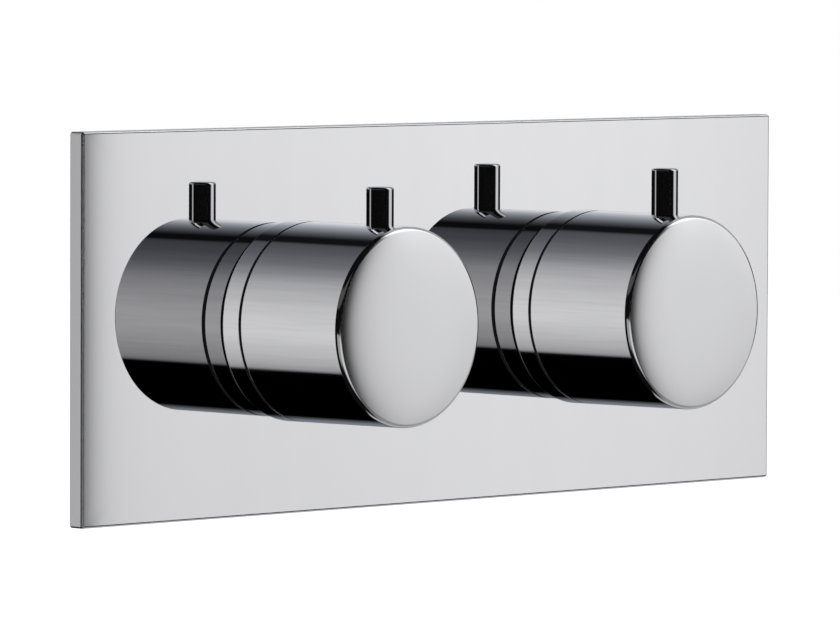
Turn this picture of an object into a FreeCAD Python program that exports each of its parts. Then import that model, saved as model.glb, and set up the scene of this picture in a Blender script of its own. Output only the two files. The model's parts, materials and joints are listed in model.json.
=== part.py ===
import FreeCAD, Part
import math
import os

# Concealed thermostatic shower valve with two concentric control stacks on one landscape wall plate.
# Millimetres. +X runs along the plate to the right, +Z is up and -Y points out of the wall to the user.
# The origin is the middle of the plate's rear rim, on the finished wall.
# "u" below is a distance out of the wall: u = 0 on the wall, positive towards the user (y = -u).

V = FreeCAD.Vector
RIGHT = V(1, 0, 0)
UP = V(0, 0, 1)
OUT = V(0, -1, 0)

# ---- wall plate
PLATE_WIDTH = 257.0
PLATE_HEIGHT = 100.0
PLATE_DEPTH = 5.0
PLATE_SKIN = 1.6
PLATE_RIM = 2.0
PLATE_CORNER_R = 0.8
PLATE_EDGE = 0.25
PLATE_COLLAR = 2.3
GROMMET_WALL = 1.1
GROMMET_INSET = 0.4
GASKET_WIDTH = 5.0

# ---- where the two control stacks stand on the plate
LEFT_STACK_FROM_EDGE = 34.5
STACK_SPACING = 103.6
STACK_Z = 3.0

# ---- fits and clearances
SEAT_FIT = 0.05
RUNNING_FIT = 0.05
DISC_GAP = 0.02
MOVE_GAP = 0.2
FREE_GAP = 0.6

# ---- handles
HANDLE_R = 24.4
HANDLE_WEB = 4.4
HANDLE_RECESS = 4.1
HANDLE_GROOVE_FROM_FRONT = 6.5
HANDLE_GROOVE_WIDTH = 1.05
HANDLE_GROOVE_DEPTH = 1.0
HANDLE_EDGE = 0.35
HANDLE_GAP = 1.05
KNOB_REAR_R = 25.2
KNOB_FRONT_R = 24.9
KNOB_LENGTH = 41.55
KNOB_BORE_R = 16.5
KNOB_FACE_WALL = 6.0
KNOB_GROOVE_FROM_REAR = 6.25
KNOB_GROOVE_WIDTH = 0.65
KNOB_GROOVE_DEPTH = 0.8
KNOB_EDGE_R = 1.7
KNOB_DOME = 0.7
SPIGOT_WALL = 2.7

# ---- pin levers
PIN_R = 3.42
LEFT_PIN_REACH = 9.5
RIGHT_PIN_REACH = 11.8
PIN_SEAT = 1.4
PIN_TAIL_R = 2.0
PIN_TAIL = 2.4
PIN_TOP_EDGE = 0.7
PIN_FROM_HANDLE_REAR = 6.5
PIN_FROM_KNOB_FACE = 11.4

# ---- hubs that key the handles to the stems, and their grub screws
HUB_R = 9.0
HUB_FLANGE_R = 12.5
HUB_FLANGE = 1.2
KNOB_HUB_FLANGE = 8.0
KNOB_HUB_TUBE_R = 7.5
KNOB_HUB_REAR = 6.0
KNOB_HUB_FRONT = 5.0
KNOB_HUB_FROM_FACE = 19.0
SPLINE_TEETH = 20
SPLINE_DEPTH = 0.45
GRUB_R = 1.5
KNOB_GRUB_R = 2.0
GRUB_LENGTH = 5.0
GRUB_BITE = 0.9

# ---- cartridge: outer diameters of the parts that nest in one another
SPINDLE_R = 3.5
STEM_R = 6.0
MIXER_BORE_R = 7.05
MIXER_R = 9.0
DRUM_BORE_GAP = 0.3
DRUM_R = 13.0
HOUSING_R = 15.45
HOUSING_WALL = 1.45
NECK_R = 9.0
SPIGOT_THREAD_R = 17.6
BARREL_NUT_R = 19.0

# ---- cartridge: lengths, from the seat in the body outwards
SEAT_DEPTH = 2.0
BASE_THICKNESS = 3.6
DISC_THICKNESS = 2.6
DRUM_FLANGE = 3.2
MIXER_LENGTH = 26.0
SPINDLE_FLANGE = 1.5
SPINDLE_FLANGE_R = 6.5
DRUM_WEB = 2.0
HOUSING_END = 2.2
BARREL_NUT_END = 1.8
BODY_SPIGOT = 8.0
GUIDE_RING_WIDTH = 5.0
GUIDE_RING_GROOVE = 0.8
GUIDE_RING_FROM_FRONT = 7.0

# ---- ports through the base, the discs and the drum
PORT_INNER_R = 10.0
PORT_LAND = 1.1
PORT_ANGLE = 76.0
OUTLET_BORE_R = 5.2
INNER_PORT_R = 5.9
INNER_PORT_BORE_R = 1.6
INLET_PORT_R = 1.8
INNER_DISC_R = 8.0
OUTER_PORT_TURN = 25.0
INNER_PORT_TURN = -50.0
QUARTER_TURN = 90.0

# ---- thermostat inside the mixing sleeve
NUT_LENGTH = 7.6
NUT_ROOM = 1.6
NUT_CAVITY = 4.5
NUT_THREAD_R = 3.0
NUT_KEY_WIDTH = 2.0
NUT_KEY_REACH = 1.2
PLUNGER_R = 4.6
PLUNGER_THICKNESS = 1.0
SHUTTLE_LENGTH = 4.8
SHUTTLE_ROOM = 3.0
SHUTTLE_WALL = 0.8
SHUTTLE_WEB = 1.2
SHUTTLE_WEB_FROM_REAR = 1.8
CAPSULE_R = 3.4
CAPSULE_FLANGE_R = 4.6
CAPSULE_FLANGE = 1.2
CAPSULE_TAIL = 6.6
CAPSULE_NECK_R = 2.3
CAPSULE_NECK = 2.4
PISTON_R = 1.0
SLOT_HEIGHT = 1.4
SLOT_OVERLAP = 0.4
SLOT_COUNT = 6
SLOT_WIDTH = 3.0
COLD_CHANNEL_R = 0.7
COLD_CHANNEL_WALL = 0.45

# ---- springs
RETURN_SPRING_R = 5.6
RETURN_SPRING_WIRE_R = 0.38
OVERLOAD_SPRING_R = 3.9
OVERLOAD_SPRING_WIRE_R = 0.35
CHECK_SPRING_R = 2.2
CHECK_SPRING_WIRE_R = 0.3
SPRING_TURNS = 4

# ---- O-rings
O_RING_R = 0.5
FACE_SEAL_R = 0.8
FACE_SEAL_MARGIN = 0.5

# ---- cast body: three waterways side by side behind the plate
RAIL_PITCH = 11.5
RAIL_BORE_R = 4.0
RAIL_R = 6.0
RAIL_END = 8.0
RAIL_DEPTH = 8.2
LINK_R = 6.4
LINK_BORE_R = 3.4
BOSS_R = 19.0
LEFT_BOSS_DEPTH = 14.6
RIGHT_BOSS_DEPTH = 30.0
OUTLET_DEPTH = 22.0
PIPE_R = 7.0
PIPE_BORE_R = 4.5
PORT_BOSS_R = 13.5
PORT_BOSS_LENGTH = 15.0
PORT_THREAD_R = 9.32
PORT_THREAD_LENGTH = 12.5
PORT_FACE_Z = 47.0
HOT_INLET_FROM_STACK = 48.4
INLET_SPACING = 40.0
INLET_DEPTH = 18.0
PLUG_R = 4.8
PLUG_LENGTH = 5.0
PLUG_HEX = 4.0

# ---- strainer and check valve in each inlet
STRAINER_FLANGE = 1.2
STRAINER_FLANGE_R = 9.25
RELIEF_EXTRA_R = 0.35
RELIEF_LENGTH = 1.5
STRAINER_R = 7.0
STRAINER_WALL = 0.6
STRAINER_LENGTH = 5.5
STRAINER_SLOTS = 8
STRAINER_SLOT_WIDTH = 1.2
CAGE_R = 7.95
CAGE_WALL = 1.7
CAGE_LENGTH = 10.0
CAGE_SEAT = 1.5
CAGE_SEAT_R = 4.0
CAGE_WEB = 1.5
CAGE_RIB = 2.0
CAGE_HUB_R = 2.4
POPPET_R = 5.3
POPPET_THICKNESS = 1.5
POPPET_STEM_R = 1.2
POPPET_TRAVEL = 3.0

# ---- mounting plate behind the body
BRACKET_PAST_POST = 10.0
BRACKET_PAST_INLET = 24.0
BRACKET_HEIGHT = 76.0
BRACKET_THICKNESS = 2.0
BRACKET_CORNER_R = 8.0
BRACKET_HOLE_R = 2.75
BRACKET_HOLE_INSET = 8.0
POST_R = 5.0
POST_SCREW_R = 2.5
POST_SCREW_DEPTH = 9.0
LEFT_POST_FROM_STACK = 52.0
HOT_POST_FROM_INLET = 18.0
COLD_POST_FROM_INLET = 20.0
SCREW_HEAD_R = 4.5
SCREW_HEAD_HEIGHT = 2.6
SCREW_SLOT = 1.0

# ---- places worked out from the sizes above
LEFT_X = LEFT_STACK_FROM_EDGE - PLATE_WIDTH / 2
RIGHT_X = LEFT_X + STACK_SPACING
STACKS = {"left": LEFT_X, "right": RIGHT_X}
HOT_INLET_X = RIGHT_X + HOT_INLET_FROM_STACK
COLD_INLET_X = HOT_INLET_X + INLET_SPACING
LEFT_POST_X = LEFT_X + LEFT_POST_FROM_STACK
HOT_POST_X = HOT_INLET_X - HOT_POST_FROM_INLET
COLD_POST_X = COLD_INLET_X - COLD_POST_FROM_INLET
BRACKET_LEFT = LEFT_POST_X - BRACKET_PAST_POST
BRACKET_RIGHT = COLD_INLET_X + BRACKET_PAST_INLET
SEAT_U = -SEAT_DEPTH
BASE_FRONT = SEAT_U + BASE_THICKNESS
FIXED_DISC_FRONT = BASE_FRONT + DISC_THICKNESS
FLOW_DISC_REAR = FIXED_DISC_FRONT + DISC_GAP
DRUM_REAR = FLOW_DISC_REAR + DISC_THICKNESS
MIXER_FRONT = BASE_FRONT + MIXER_LENGTH
SPINDLE_FLANGE_REAR = MIXER_FRONT + MOVE_GAP
SPINDLE_FLANGE_FRONT = SPINDLE_FLANGE_REAR + SPINDLE_FLANGE
DRUM_ROOF = SPINDLE_FLANGE_FRONT + SEAT_FIT
DRUM_FRONT = DRUM_ROOF + DRUM_WEB
HOUSING_ROOF = DRUM_FRONT + MOVE_GAP
HOUSING_FRONT = HOUSING_ROOF + HOUSING_END
BARREL_NUT_FRONT = HOUSING_FRONT + BARREL_NUT_END
WEB_REAR = BARREL_NUT_FRONT + FREE_GAP
WEB_FRONT = WEB_REAR + HANDLE_WEB
NECK_FRONT = WEB_REAR - 1.5 * MOVE_GAP
HANDLE_REAR = PLATE_DEPTH + FREE_GAP
HANDLE_FRONT = WEB_FRONT + HANDLE_RECESS
STEM_FRONT = WEB_FRONT + HUB_FLANGE
KNOB_REAR = HANDLE_FRONT + HANDLE_GAP
KNOB_FACE = KNOB_REAR + KNOB_LENGTH
KNOB_BORE_END = KNOB_FACE - KNOB_FACE_WALL
SPIGOT_REAR = WEB_FRONT + FREE_GAP
KNOB_HUB_FLANGE_FRONT = KNOB_BORE_END - KNOB_HUB_FROM_FACE
KNOB_HUB_FLANGE_REAR = KNOB_HUB_FLANGE_FRONT - KNOB_HUB_FLANGE
SPINDLE_FRONT = KNOB_HUB_FLANGE_FRONT + KNOB_HUB_FRONT - 1.0

DRUM_BORE_R = MIXER_R + DRUM_BORE_GAP
HOUSING_BORE_R = HOUSING_R - HOUSING_WALL
DISC_R = HOUSING_BORE_R - DRUM_BORE_GAP
BODY_POCKET_R = HOUSING_R + SEAT_FIT
HANDLE_BORE_R = BARREL_NUT_R + FREE_GAP
GUIDE_RING_R = HANDLE_BORE_R - RUNNING_FIT
RECESS_R = KNOB_BORE_R + SPIGOT_WALL + RUNNING_FIT
PLATE_HOLE_R = BARREL_NUT_R + SEAT_FIT + GROMMET_WALL + SEAT_FIT
GUIDE_RING_REAR = BARREL_NUT_FRONT - GUIDE_RING_FROM_FRONT - GUIDE_RING_WIDTH

NUT_FRONT = MIXER_FRONT - NUT_ROOM
NUT_REAR = NUT_FRONT - NUT_LENGTH
NUT_SHELF = NUT_REAR + NUT_CAVITY
PLUNGER_REAR = NUT_REAR + MOVE_GAP
PLUNGER_FRONT = PLUNGER_REAR + PLUNGER_THICKNESS
SHUTTLE_FRONT = NUT_REAR - SHUTTLE_ROOM
SHUTTLE_REAR = SHUTTLE_FRONT - SHUTTLE_LENGTH
SHUTTLE_WEB_REAR = SHUTTLE_REAR + SHUTTLE_WEB_FROM_REAR
SHUTTLE_WEB_FRONT = SHUTTLE_WEB_REAR + SHUTTLE_WEB
HOT_SLOT_FRONT = SHUTTLE_REAR + SLOT_OVERLAP
HOT_SLOT_REAR = HOT_SLOT_FRONT - SLOT_HEIGHT
COLD_SLOT_REAR = SHUTTLE_FRONT - SLOT_OVERLAP
COLD_SLOT_FRONT = COLD_SLOT_REAR + SLOT_HEIGHT
MID_SEAL_U = (HOT_SLOT_FRONT + COLD_SLOT_REAR) / 2
FRONT_SEAL_U = COLD_SLOT_FRONT + 2.2 * O_RING_R

HOT_Z = STACK_Z + RAIL_PITCH
COLD_Z = STACK_Z - RAIL_PITCH
PORT_OUTER_R = DISC_R - PORT_LAND
PORT_MID_R = (PORT_INNER_R + PORT_OUTER_R) / 2
BACK_DEPTH = OUTLET_DEPTH + PORT_BOSS_R + FREE_GAP
OUTER_PORT = (PORT_MID_R * math.cos(math.radians(OUTER_PORT_TURN)),
              PORT_MID_R * math.sin(math.radians(OUTER_PORT_TURN)))
INNER_PORT = (INNER_PORT_R * math.cos(math.radians(INNER_PORT_TURN)),
              INNER_PORT_R * math.sin(math.radians(INNER_PORT_TURN)))
OUTLET_1_X = RIGHT_X + OUTER_PORT[0]
OUTLET_1_Z = STACK_Z + OUTER_PORT[1]
OUTLET_2_X = RIGHT_X + INNER_PORT[0]
OUTLET_2_Z = STACK_Z + INNER_PORT[1]
RELIEF_END_Z = -PORT_FACE_Z + PORT_THREAD_LENGTH + RELIEF_LENGTH
CAGE_BOTTOM_Z = RELIEF_END_Z + STRAINER_LENGTH + FREE_GAP
CAGE_TOP_Z = CAGE_BOTTOM_Z + CAGE_LENGTH
POPPET_Z = CAGE_BOTTOM_Z + CAGE_SEAT + DISC_GAP


# ---- basic solids

def cylinder(radius, start, end, x=0.0, y=0.0):
    """A cylinder along the local axis, from start to end."""
    return Part.makeCylinder(radius, end - start, V(x, y, start))


def tube(outer, inner, start, end):
    return cylinder(outer, start, end).cut(cylinder(inner, start, end))


def out_cylinder(radius, start, end, x, z):
    """A cylinder square to the wall, between two distances out of it."""
    return Part.makeCylinder(radius, end - start, V(x, -start, z), OUT)


def cross_cylinder(radius, start, end, depth, z):
    """A cylinder along the plate, at a depth behind the wall."""
    return Part.makeCylinder(radius, end - start, V(start, depth, z), RIGHT)


def up_cylinder(radius, start, end, x, depth):
    """An upright cylinder at a depth behind the wall."""
    low, high = min(start, end), max(start, end)
    return Part.makeCylinder(radius, high - low, V(x, depth, low), UP)


def torus(ring_r, wire_r, height):
    return Part.makeTorus(ring_r, wire_r, V(0, 0, height))


def revolved(outline):
    """A solid of revolution from a closed outline of edges in the local XZ plane."""
    face = Part.Face(Part.Wire(outline))
    return face.revolve(V(0, 0, 0), UP, 360)


def sector(inner, outer, start, end, middle, angle):
    """A kidney port: part of a ring about the local axis."""
    half = math.radians(angle) / 2
    centre = math.radians(middle)
    corners = []
    for radius, turns in ((inner, (-half, 0, half)), (outer, (half, 0, -half))):
        for turn in turns:
            corners.append(V(radius * math.cos(centre + turn), radius * math.sin(centre + turn), start))
    edges = [
        Part.Arc(corners[0], corners[1], corners[2]).toShape(),
        Part.makeLine(corners[2], corners[3]),
        Part.Arc(corners[3], corners[4], corners[5]).toShape(),
        Part.makeLine(corners[5], corners[0]),
    ]
    return Part.Face(Part.Wire(edges)).extrude(V(0, 0, end - start))


def splined(radius, start, end):
    """A toothed shaft: the same form, a fit larger, cuts the bore that it slides into."""
    points = []
    for i in range(2 * SPLINE_TEETH):
        r = radius - SPLINE_DEPTH * (i % 2)
        turn = math.pi * i / SPLINE_TEETH
        points.append(V(r * math.cos(turn), r * math.sin(turn), start))
    return Part.Face(Part.makePolygon(points + points[:1])).extrude(V(0, 0, end - start))


def hexagon(across_flats, start, end):
    radius = across_flats / math.sqrt(3)
    turns = [math.pi * i / 3 for i in range(7)]
    points = [V(radius * math.cos(turn), radius * math.sin(turn), start) for turn in turns]
    return Part.Face(Part.makePolygon(points)).extrude(V(0, 0, end - start))


def coil(ring_r, wire_r, start, end):
    """A compression spring that stands between two heights."""
    low = start + wire_r
    height = end - start - 2 * wire_r
    path = Part.Wire(Part.makeHelix(height / SPRING_TURNS, height, ring_r).Edges)
    section = Part.Wire(Part.makeCircle(wire_r, V(ring_r, 0, 0), V(0, 1, 0)))
    spring = path.makePipeShell([section], True, True)
    spring.translate(V(0, 0, low))
    return spring


def at_stack(shape, stack):
    """Turns a piece drawn along the local axis to point out of the wall, at the named stack."""
    placed = shape.copy()
    placed.rotate(V(0, 0, 0), RIGHT, 90)
    placed.translate(V(STACKS[stack], 0, STACK_Z))
    return placed


def save(name, *shapes):
    """Writes one node: one solid, or a group of the same fastener."""
    solids = [solid for shape in shapes for solid in shape.Solids]
    shape = solids[0] if len(solids) == 1 else Part.makeCompound(solids)
    if not shape.isValid():
        raise ValueError("bad solid: " + name)
    shape.exportStep("parts/" + name + ".step")


# ---- wall plate and its seals

def rounded_box(width, height, radius, start, end):
    """An upright rounded slab, centred on the origin, between two distances out of the wall."""
    box = Part.makeBox(width, end - start, height, V(-width / 2, -end, -height / 2))
    upright = [e for e in box.Edges if abs(e.tangentAt(e.FirstParameter).y) > 0.9]
    return box.makeFillet(radius, upright)


def wall_plate():
    """A pressed tray: a flat front with a folded rim, and a collar behind each hole."""
    plate = rounded_box(PLATE_WIDTH, PLATE_HEIGHT, PLATE_CORNER_R, 0, PLATE_DEPTH)
    front = [e for e in plate.Edges if all(abs(v.Y + PLATE_DEPTH) < 1e-6 for v in e.Vertexes)]
    plate = plate.makeChamfer(PLATE_EDGE, front)
    hollow_width = PLATE_WIDTH - 2 * PLATE_RIM
    hollow_height = PLATE_HEIGHT - 2 * PLATE_RIM
    pocket = PLATE_DEPTH - PLATE_SKIN
    plate = plate.cut(rounded_box(hollow_width, hollow_height, PLATE_CORNER_R, -1, pocket))
    for x in STACKS.values():
        plate = plate.fuse(out_cylinder(PLATE_HOLE_R + PLATE_COLLAR, GROMMET_INSET, pocket, x, STACK_Z))
    for x in STACKS.values():
        plate = plate.cut(out_cylinder(PLATE_HOLE_R, -1, PLATE_DEPTH + 1, x, STACK_Z))
    return plate.removeSplitter()


def wall_gasket():
    """A foam strip stuck inside the rim, which closes the plate to the wall."""
    width = PLATE_WIDTH - 2 * PLATE_RIM - 2 * SEAT_FIT
    height = PLATE_HEIGHT - 2 * PLATE_RIM - 2 * SEAT_FIT
    front = PLATE_DEPTH - PLATE_SKIN - SEAT_FIT
    strip = rounded_box(width, height, PLATE_CORNER_R, 0, front)
    inside = rounded_box(width - 2 * GASKET_WIDTH, height - 2 * GASKET_WIDTH, PLATE_CORNER_R, -1, front + 1)
    return strip.cut(inside)


def plate_grommet():
    """A rubber ring in the plate's hole, which grips the barrel nut and holds the plate on."""
    inner = BARREL_NUT_R + SEAT_FIT
    start = GROMMET_INSET
    return tube(inner + GROMMET_WALL, inner, start, PLATE_DEPTH - GROMMET_INSET)


# ---- handles, knobs and pin levers

def knob_radius(u):
    """The knob tapers a little from its rear to its face."""
    share = (u - KNOB_REAR) / KNOB_LENGTH
    return KNOB_REAR_R + (KNOB_FRONT_R - KNOB_REAR_R) * share


def pin_hole(barrel_r, u):
    """The counterbore and the tapped hole that a pin lever screws into, on top of a barrel."""
    floor = barrel_r - PIN_SEAT
    seat = Part.makeCylinder(PIN_R + SEAT_FIT, PIN_SEAT + 1, V(0, floor, u), V(0, 1, 0))
    tapped = Part.makeCylinder(PIN_TAIL_R + SEAT_FIT, PIN_TAIL + SEAT_FIT, V(0, floor, u), V(0, -1, 0))
    return seat.fuse(tapped)


def pin_lever(barrel_r, reach, u):
    floor = barrel_r - PIN_SEAT
    head = Part.makeCylinder(PIN_R, PIN_SEAT + reach, V(0, floor, u), V(0, 1, 0))
    top = barrel_r + reach
    rim = [e for e in head.Edges if all(abs(v.Y - top) < 1e-6 for v in e.Vertexes) and e.Closed]
    head = head.makeFillet(PIN_TOP_EDGE, rim)
    tail = Part.makeCylinder(PIN_TAIL_R, PIN_TAIL, V(0, floor, u), V(0, -1, 0))
    return head.fuse(tail)


def grub_hole(radius, barrel_r, inner_r, u):
    """A tapped hole on the underside, from outside the barrel in to a radius."""
    return Part.makeCylinder(radius + SEAT_FIT, barrel_r - inner_r + 1, V(0, -barrel_r - 1, u), V(0, 1, 0))


def grub_screw(radius, tip_r, u):
    """A headless screw whose tip bears on the hub, with a hexagon socket in its outer end."""
    screw = Part.makeCylinder(radius, GRUB_LENGTH, V(0, -tip_r - GRUB_LENGTH, u), V(0, 1, 0))
    socket = hexagon(radius, 0, GRUB_LENGTH / 2)
    socket.rotate(V(0, 0, 0), RIGHT, -90)
    socket.translate(V(0, -tip_r - GRUB_LENGTH, u))
    return screw.cut(socket)


def rear_handle():
    """The barrel round the cartridge: open at the wall, with a web that takes the hub."""
    barrel = cylinder(HANDLE_R, HANDLE_REAR, HANDLE_FRONT)
    barrel = barrel.makeChamfer(HANDLE_EDGE, [e for e in barrel.Edges if isinstance(e.Curve, Part.Circle)])
    barrel = barrel.cut(cylinder(HANDLE_BORE_R, HANDLE_REAR - 1, WEB_REAR))
    barrel = barrel.cut(cylinder(RECESS_R, WEB_FRONT, HANDLE_FRONT + 1))
    barrel = barrel.cut(cylinder(HUB_R + SEAT_FIT, WEB_REAR - 1, WEB_FRONT + 1))
    groove_middle = HANDLE_FRONT - HANDLE_GROOVE_FROM_FRONT
    groove_rear = groove_middle - HANDLE_GROOVE_WIDTH / 2
    floor = HANDLE_R - HANDLE_GROOVE_DEPTH
    barrel = barrel.cut(tube(HANDLE_R + 1, floor, groove_rear, groove_rear + HANDLE_GROOVE_WIDTH))
    barrel = barrel.cut(pin_hole(HANDLE_R, HANDLE_REAR + PIN_FROM_HANDLE_REAR))
    return barrel.cut(grub_hole(GRUB_R, HANDLE_R, HUB_R - GRUB_BITE, (WEB_REAR + WEB_FRONT) / 2))


def rear_hub():
    """A splined bush in the handle's web, with its flange on the front of the web."""
    hub = cylinder(HUB_R, WEB_REAR, WEB_FRONT).fuse(cylinder(HUB_FLANGE_R, WEB_FRONT, WEB_FRONT + HUB_FLANGE))
    hub = hub.cut(splined(STEM_R + SEAT_FIT, WEB_REAR - 1, WEB_FRONT + HUB_FLANGE + 1))
    bite = grub_hole(GRUB_R, HANDLE_R, HUB_R - GRUB_BITE, (WEB_REAR + WEB_FRONT) / 2)
    return hub.cut(bite)


def front_knob():
    """The front barrel: a tapered cup with a softly domed face and a spigot that turns in the handle."""
    spigot_r = KNOB_BORE_R + SPIGOT_WALL
    edge_u = KNOB_FACE - KNOB_DOME - KNOB_EDGE_R
    rim_r = knob_radius(edge_u)
    round_top = V(rim_r - KNOB_EDGE_R, 0, KNOB_FACE - KNOB_DOME)
    half = math.sqrt(0.5)
    round_middle = V(rim_r - KNOB_EDGE_R * (1 - half), 0, edge_u + KNOB_EDGE_R * half)
    corner = V(rim_r, 0, edge_u)
    dome_r = (round_top.x ** 2 + KNOB_DOME ** 2) / (2 * KNOB_DOME)
    dome_x = round_top.x / 2
    dome_middle = V(dome_x, 0, KNOB_FACE - dome_r + math.sqrt(dome_r ** 2 - dome_x ** 2))
    face = V(0, 0, KNOB_FACE)
    rear = [
        V(0, 0, SPIGOT_REAR),
        V(spigot_r, 0, SPIGOT_REAR),
        V(spigot_r, 0, KNOB_REAR),
        V(KNOB_REAR_R - HANDLE_EDGE, 0, KNOB_REAR),
        V(KNOB_REAR_R, 0, KNOB_REAR + HANDLE_EDGE),
        corner,
    ]
    outline = [Part.makeLine(a, b) for a, b in zip(rear, rear[1:])]
    outline.append(Part.Arc(corner, round_middle, round_top).toShape())
    outline.append(Part.Arc(round_top, dome_middle, face).toShape())
    outline.append(Part.makeLine(face, rear[0]))
    knob = revolved(outline)
    knob = knob.cut(cylinder(KNOB_BORE_R, SPIGOT_REAR - 1, KNOB_BORE_END))
    groove_rear = KNOB_REAR + KNOB_GROOVE_FROM_REAR - KNOB_GROOVE_WIDTH / 2
    floor = KNOB_REAR_R - KNOB_GROOVE_DEPTH
    knob = knob.cut(tube(KNOB_REAR_R + 1, floor, groove_rear, groove_rear + KNOB_GROOVE_WIDTH))
    pin_u = KNOB_FACE - PIN_FROM_KNOB_FACE
    knob = knob.cut(pin_hole(knob_radius(pin_u), pin_u))
    grub_u = (KNOB_HUB_FLANGE_REAR + KNOB_HUB_FLANGE_FRONT) / 2
    return knob.cut(grub_hole(KNOB_GRUB_R, KNOB_REAR_R, KNOB_BORE_R - 1, grub_u))


def knob_hub():
    """A splined adaptor inside the knob, locked by the knob's grub screw."""
    rear = KNOB_HUB_FLANGE_REAR - KNOB_HUB_REAR
    front = KNOB_HUB_FLANGE_FRONT + KNOB_HUB_FRONT
    hub = cylinder(KNOB_BORE_R - SEAT_FIT, KNOB_HUB_FLANGE_REAR, KNOB_HUB_FLANGE_FRONT)
    hub = hub.fuse(cylinder(KNOB_HUB_TUBE_R, rear, front))
    hub = hub.cut(splined(SPINDLE_R + SEAT_FIT, rear - 1, front + 1))
    middle = (KNOB_HUB_FLANGE_REAR + KNOB_HUB_FLANGE_FRONT) / 2
    return hub.cut(grub_hole(KNOB_GRUB_R, KNOB_REAR_R, KNOB_BORE_R - SEAT_FIT - GRUB_BITE, middle))


def save_handles(stack):
    """Both handles of a stack, each with its pin lever, hub and grub screw."""
    knob_grub_u = (KNOB_HUB_FLANGE_REAR + KNOB_HUB_FLANGE_FRONT) / 2
    knob_pin_u = KNOB_FACE - PIN_FROM_KNOB_FACE
    pin_reach = LEFT_PIN_REACH if stack == "left" else RIGHT_PIN_REACH
    pieces = {
        "rear_handle": rear_handle(),
        "rear_pin": pin_lever(HANDLE_R, pin_reach, HANDLE_REAR + PIN_FROM_HANDLE_REAR),
        "rear_hub": rear_hub(),
        "rear_grub_screw": grub_screw(GRUB_R, HUB_R - GRUB_BITE, (WEB_REAR + WEB_FRONT) / 2),
        "front_knob": front_knob(),
        "front_pin": pin_lever(knob_radius(knob_pin_u), pin_reach, knob_pin_u),
        "knob_hub": knob_hub(),
        "front_grub_screw": grub_screw(KNOB_GRUB_R, KNOB_BORE_R - SEAT_FIT - GRUB_BITE, knob_grub_u),
    }
    for name, piece in pieces.items():
        save(stack + "_" + name, at_stack(piece, stack))


# ---- parts that both cartridges have

def cartridge_housing():
    """The cup over the discs and the drum; its neck holds the stem's O-rings."""
    housing = tube(HOUSING_R, HOUSING_BORE_R, BASE_FRONT, HOUSING_ROOF)
    housing = housing.fuse(cylinder(HOUSING_R, HOUSING_ROOF, HOUSING_FRONT))
    housing = housing.fuse(cylinder(NECK_R, HOUSING_FRONT, NECK_FRONT))
    housing = housing.cut(cylinder(STEM_R + RUNNING_FIT, HOUSING_ROOF - 1, NECK_FRONT + 1))
    for u in stem_seal_places():
        housing = housing.cut(cylinder(stem_groove_r(), u - O_RING_R - SEAT_FIT, u + O_RING_R + SEAT_FIT))
    return housing.removeSplitter()


def stem_groove_r():
    return STEM_R + RUNNING_FIT + 2 * O_RING_R


def stem_seal_places():
    span = NECK_FRONT - HOUSING_ROOF
    return [HOUSING_ROOF + span / 4, NECK_FRONT - span / 4]


def stem_seals():
    return [torus(STEM_R + RUNNING_FIT / 2 + O_RING_R, O_RING_R, u) for u in stem_seal_places()]


def barrel_nut():
    """The long sleeve nut that screws onto the body's spigot and clamps the housing down."""
    thread_r = SPIGOT_THREAD_R + SEAT_FIT
    nut = cylinder(BARREL_NUT_R, SEAT_U + FREE_GAP, BARREL_NUT_FRONT)
    nut = nut.cut(cylinder(thread_r, SEAT_U, BODY_SPIGOT + MOVE_GAP))
    nut = nut.cut(cylinder(HOUSING_R + MOVE_GAP, BODY_SPIGOT, HOUSING_FRONT))
    nut = nut.cut(cylinder(NECK_R + DRUM_BORE_GAP, HOUSING_FRONT - 1, BARREL_NUT_FRONT + 1))
    floor = BARREL_NUT_R - GUIDE_RING_GROOVE
    nut = nut.cut(tube(BARREL_NUT_R + 1, floor, GUIDE_RING_REAR, GUIDE_RING_REAR + GUIDE_RING_WIDTH))
    for turn in (0, 90):
        slot_width = 2 * HOUSING_END
        slot = Part.makeBox(2 * BARREL_NUT_R, slot_width, BARREL_NUT_END,
                            V(-BARREL_NUT_R, -slot_width / 2, BARREL_NUT_FRONT - BARREL_NUT_END / 2))
        slot.rotate(V(0, 0, 0), UP, turn)
        nut = nut.cut(slot)
    return nut


def guide_ring():
    """A plastic ring in the barrel nut's groove, on which the rear handle turns."""
    inner = BARREL_NUT_R - GUIDE_RING_GROOVE + SEAT_FIT
    start = GUIDE_RING_REAR + SEAT_FIT
    return tube(GUIDE_RING_R, inner, start, GUIDE_RING_REAR + GUIDE_RING_WIDTH - SEAT_FIT)


def flow_drum_blank():
    """The turning drum: a flange on the disc, a cylinder, and the splined hollow stem."""
    drum = tube(DISC_R, DRUM_BORE_R, DRUM_REAR, DRUM_REAR + DRUM_FLANGE)
    drum = drum.fuse(tube(DRUM_R, DRUM_BORE_R, DRUM_REAR + DRUM_FLANGE, DRUM_ROOF))
    drum = drum.fuse(cylinder(DRUM_R, DRUM_ROOF, DRUM_FRONT))
    drum = drum.fuse(cylinder(STEM_R, DRUM_FRONT, WEB_REAR))
    drum = drum.fuse(splined(STEM_R, WEB_REAR, STEM_FRONT))
    return drum.cut(cylinder(SPINDLE_R + RUNNING_FIT, DRUM_ROOF - 1, STEM_FRONT + 1))


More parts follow.
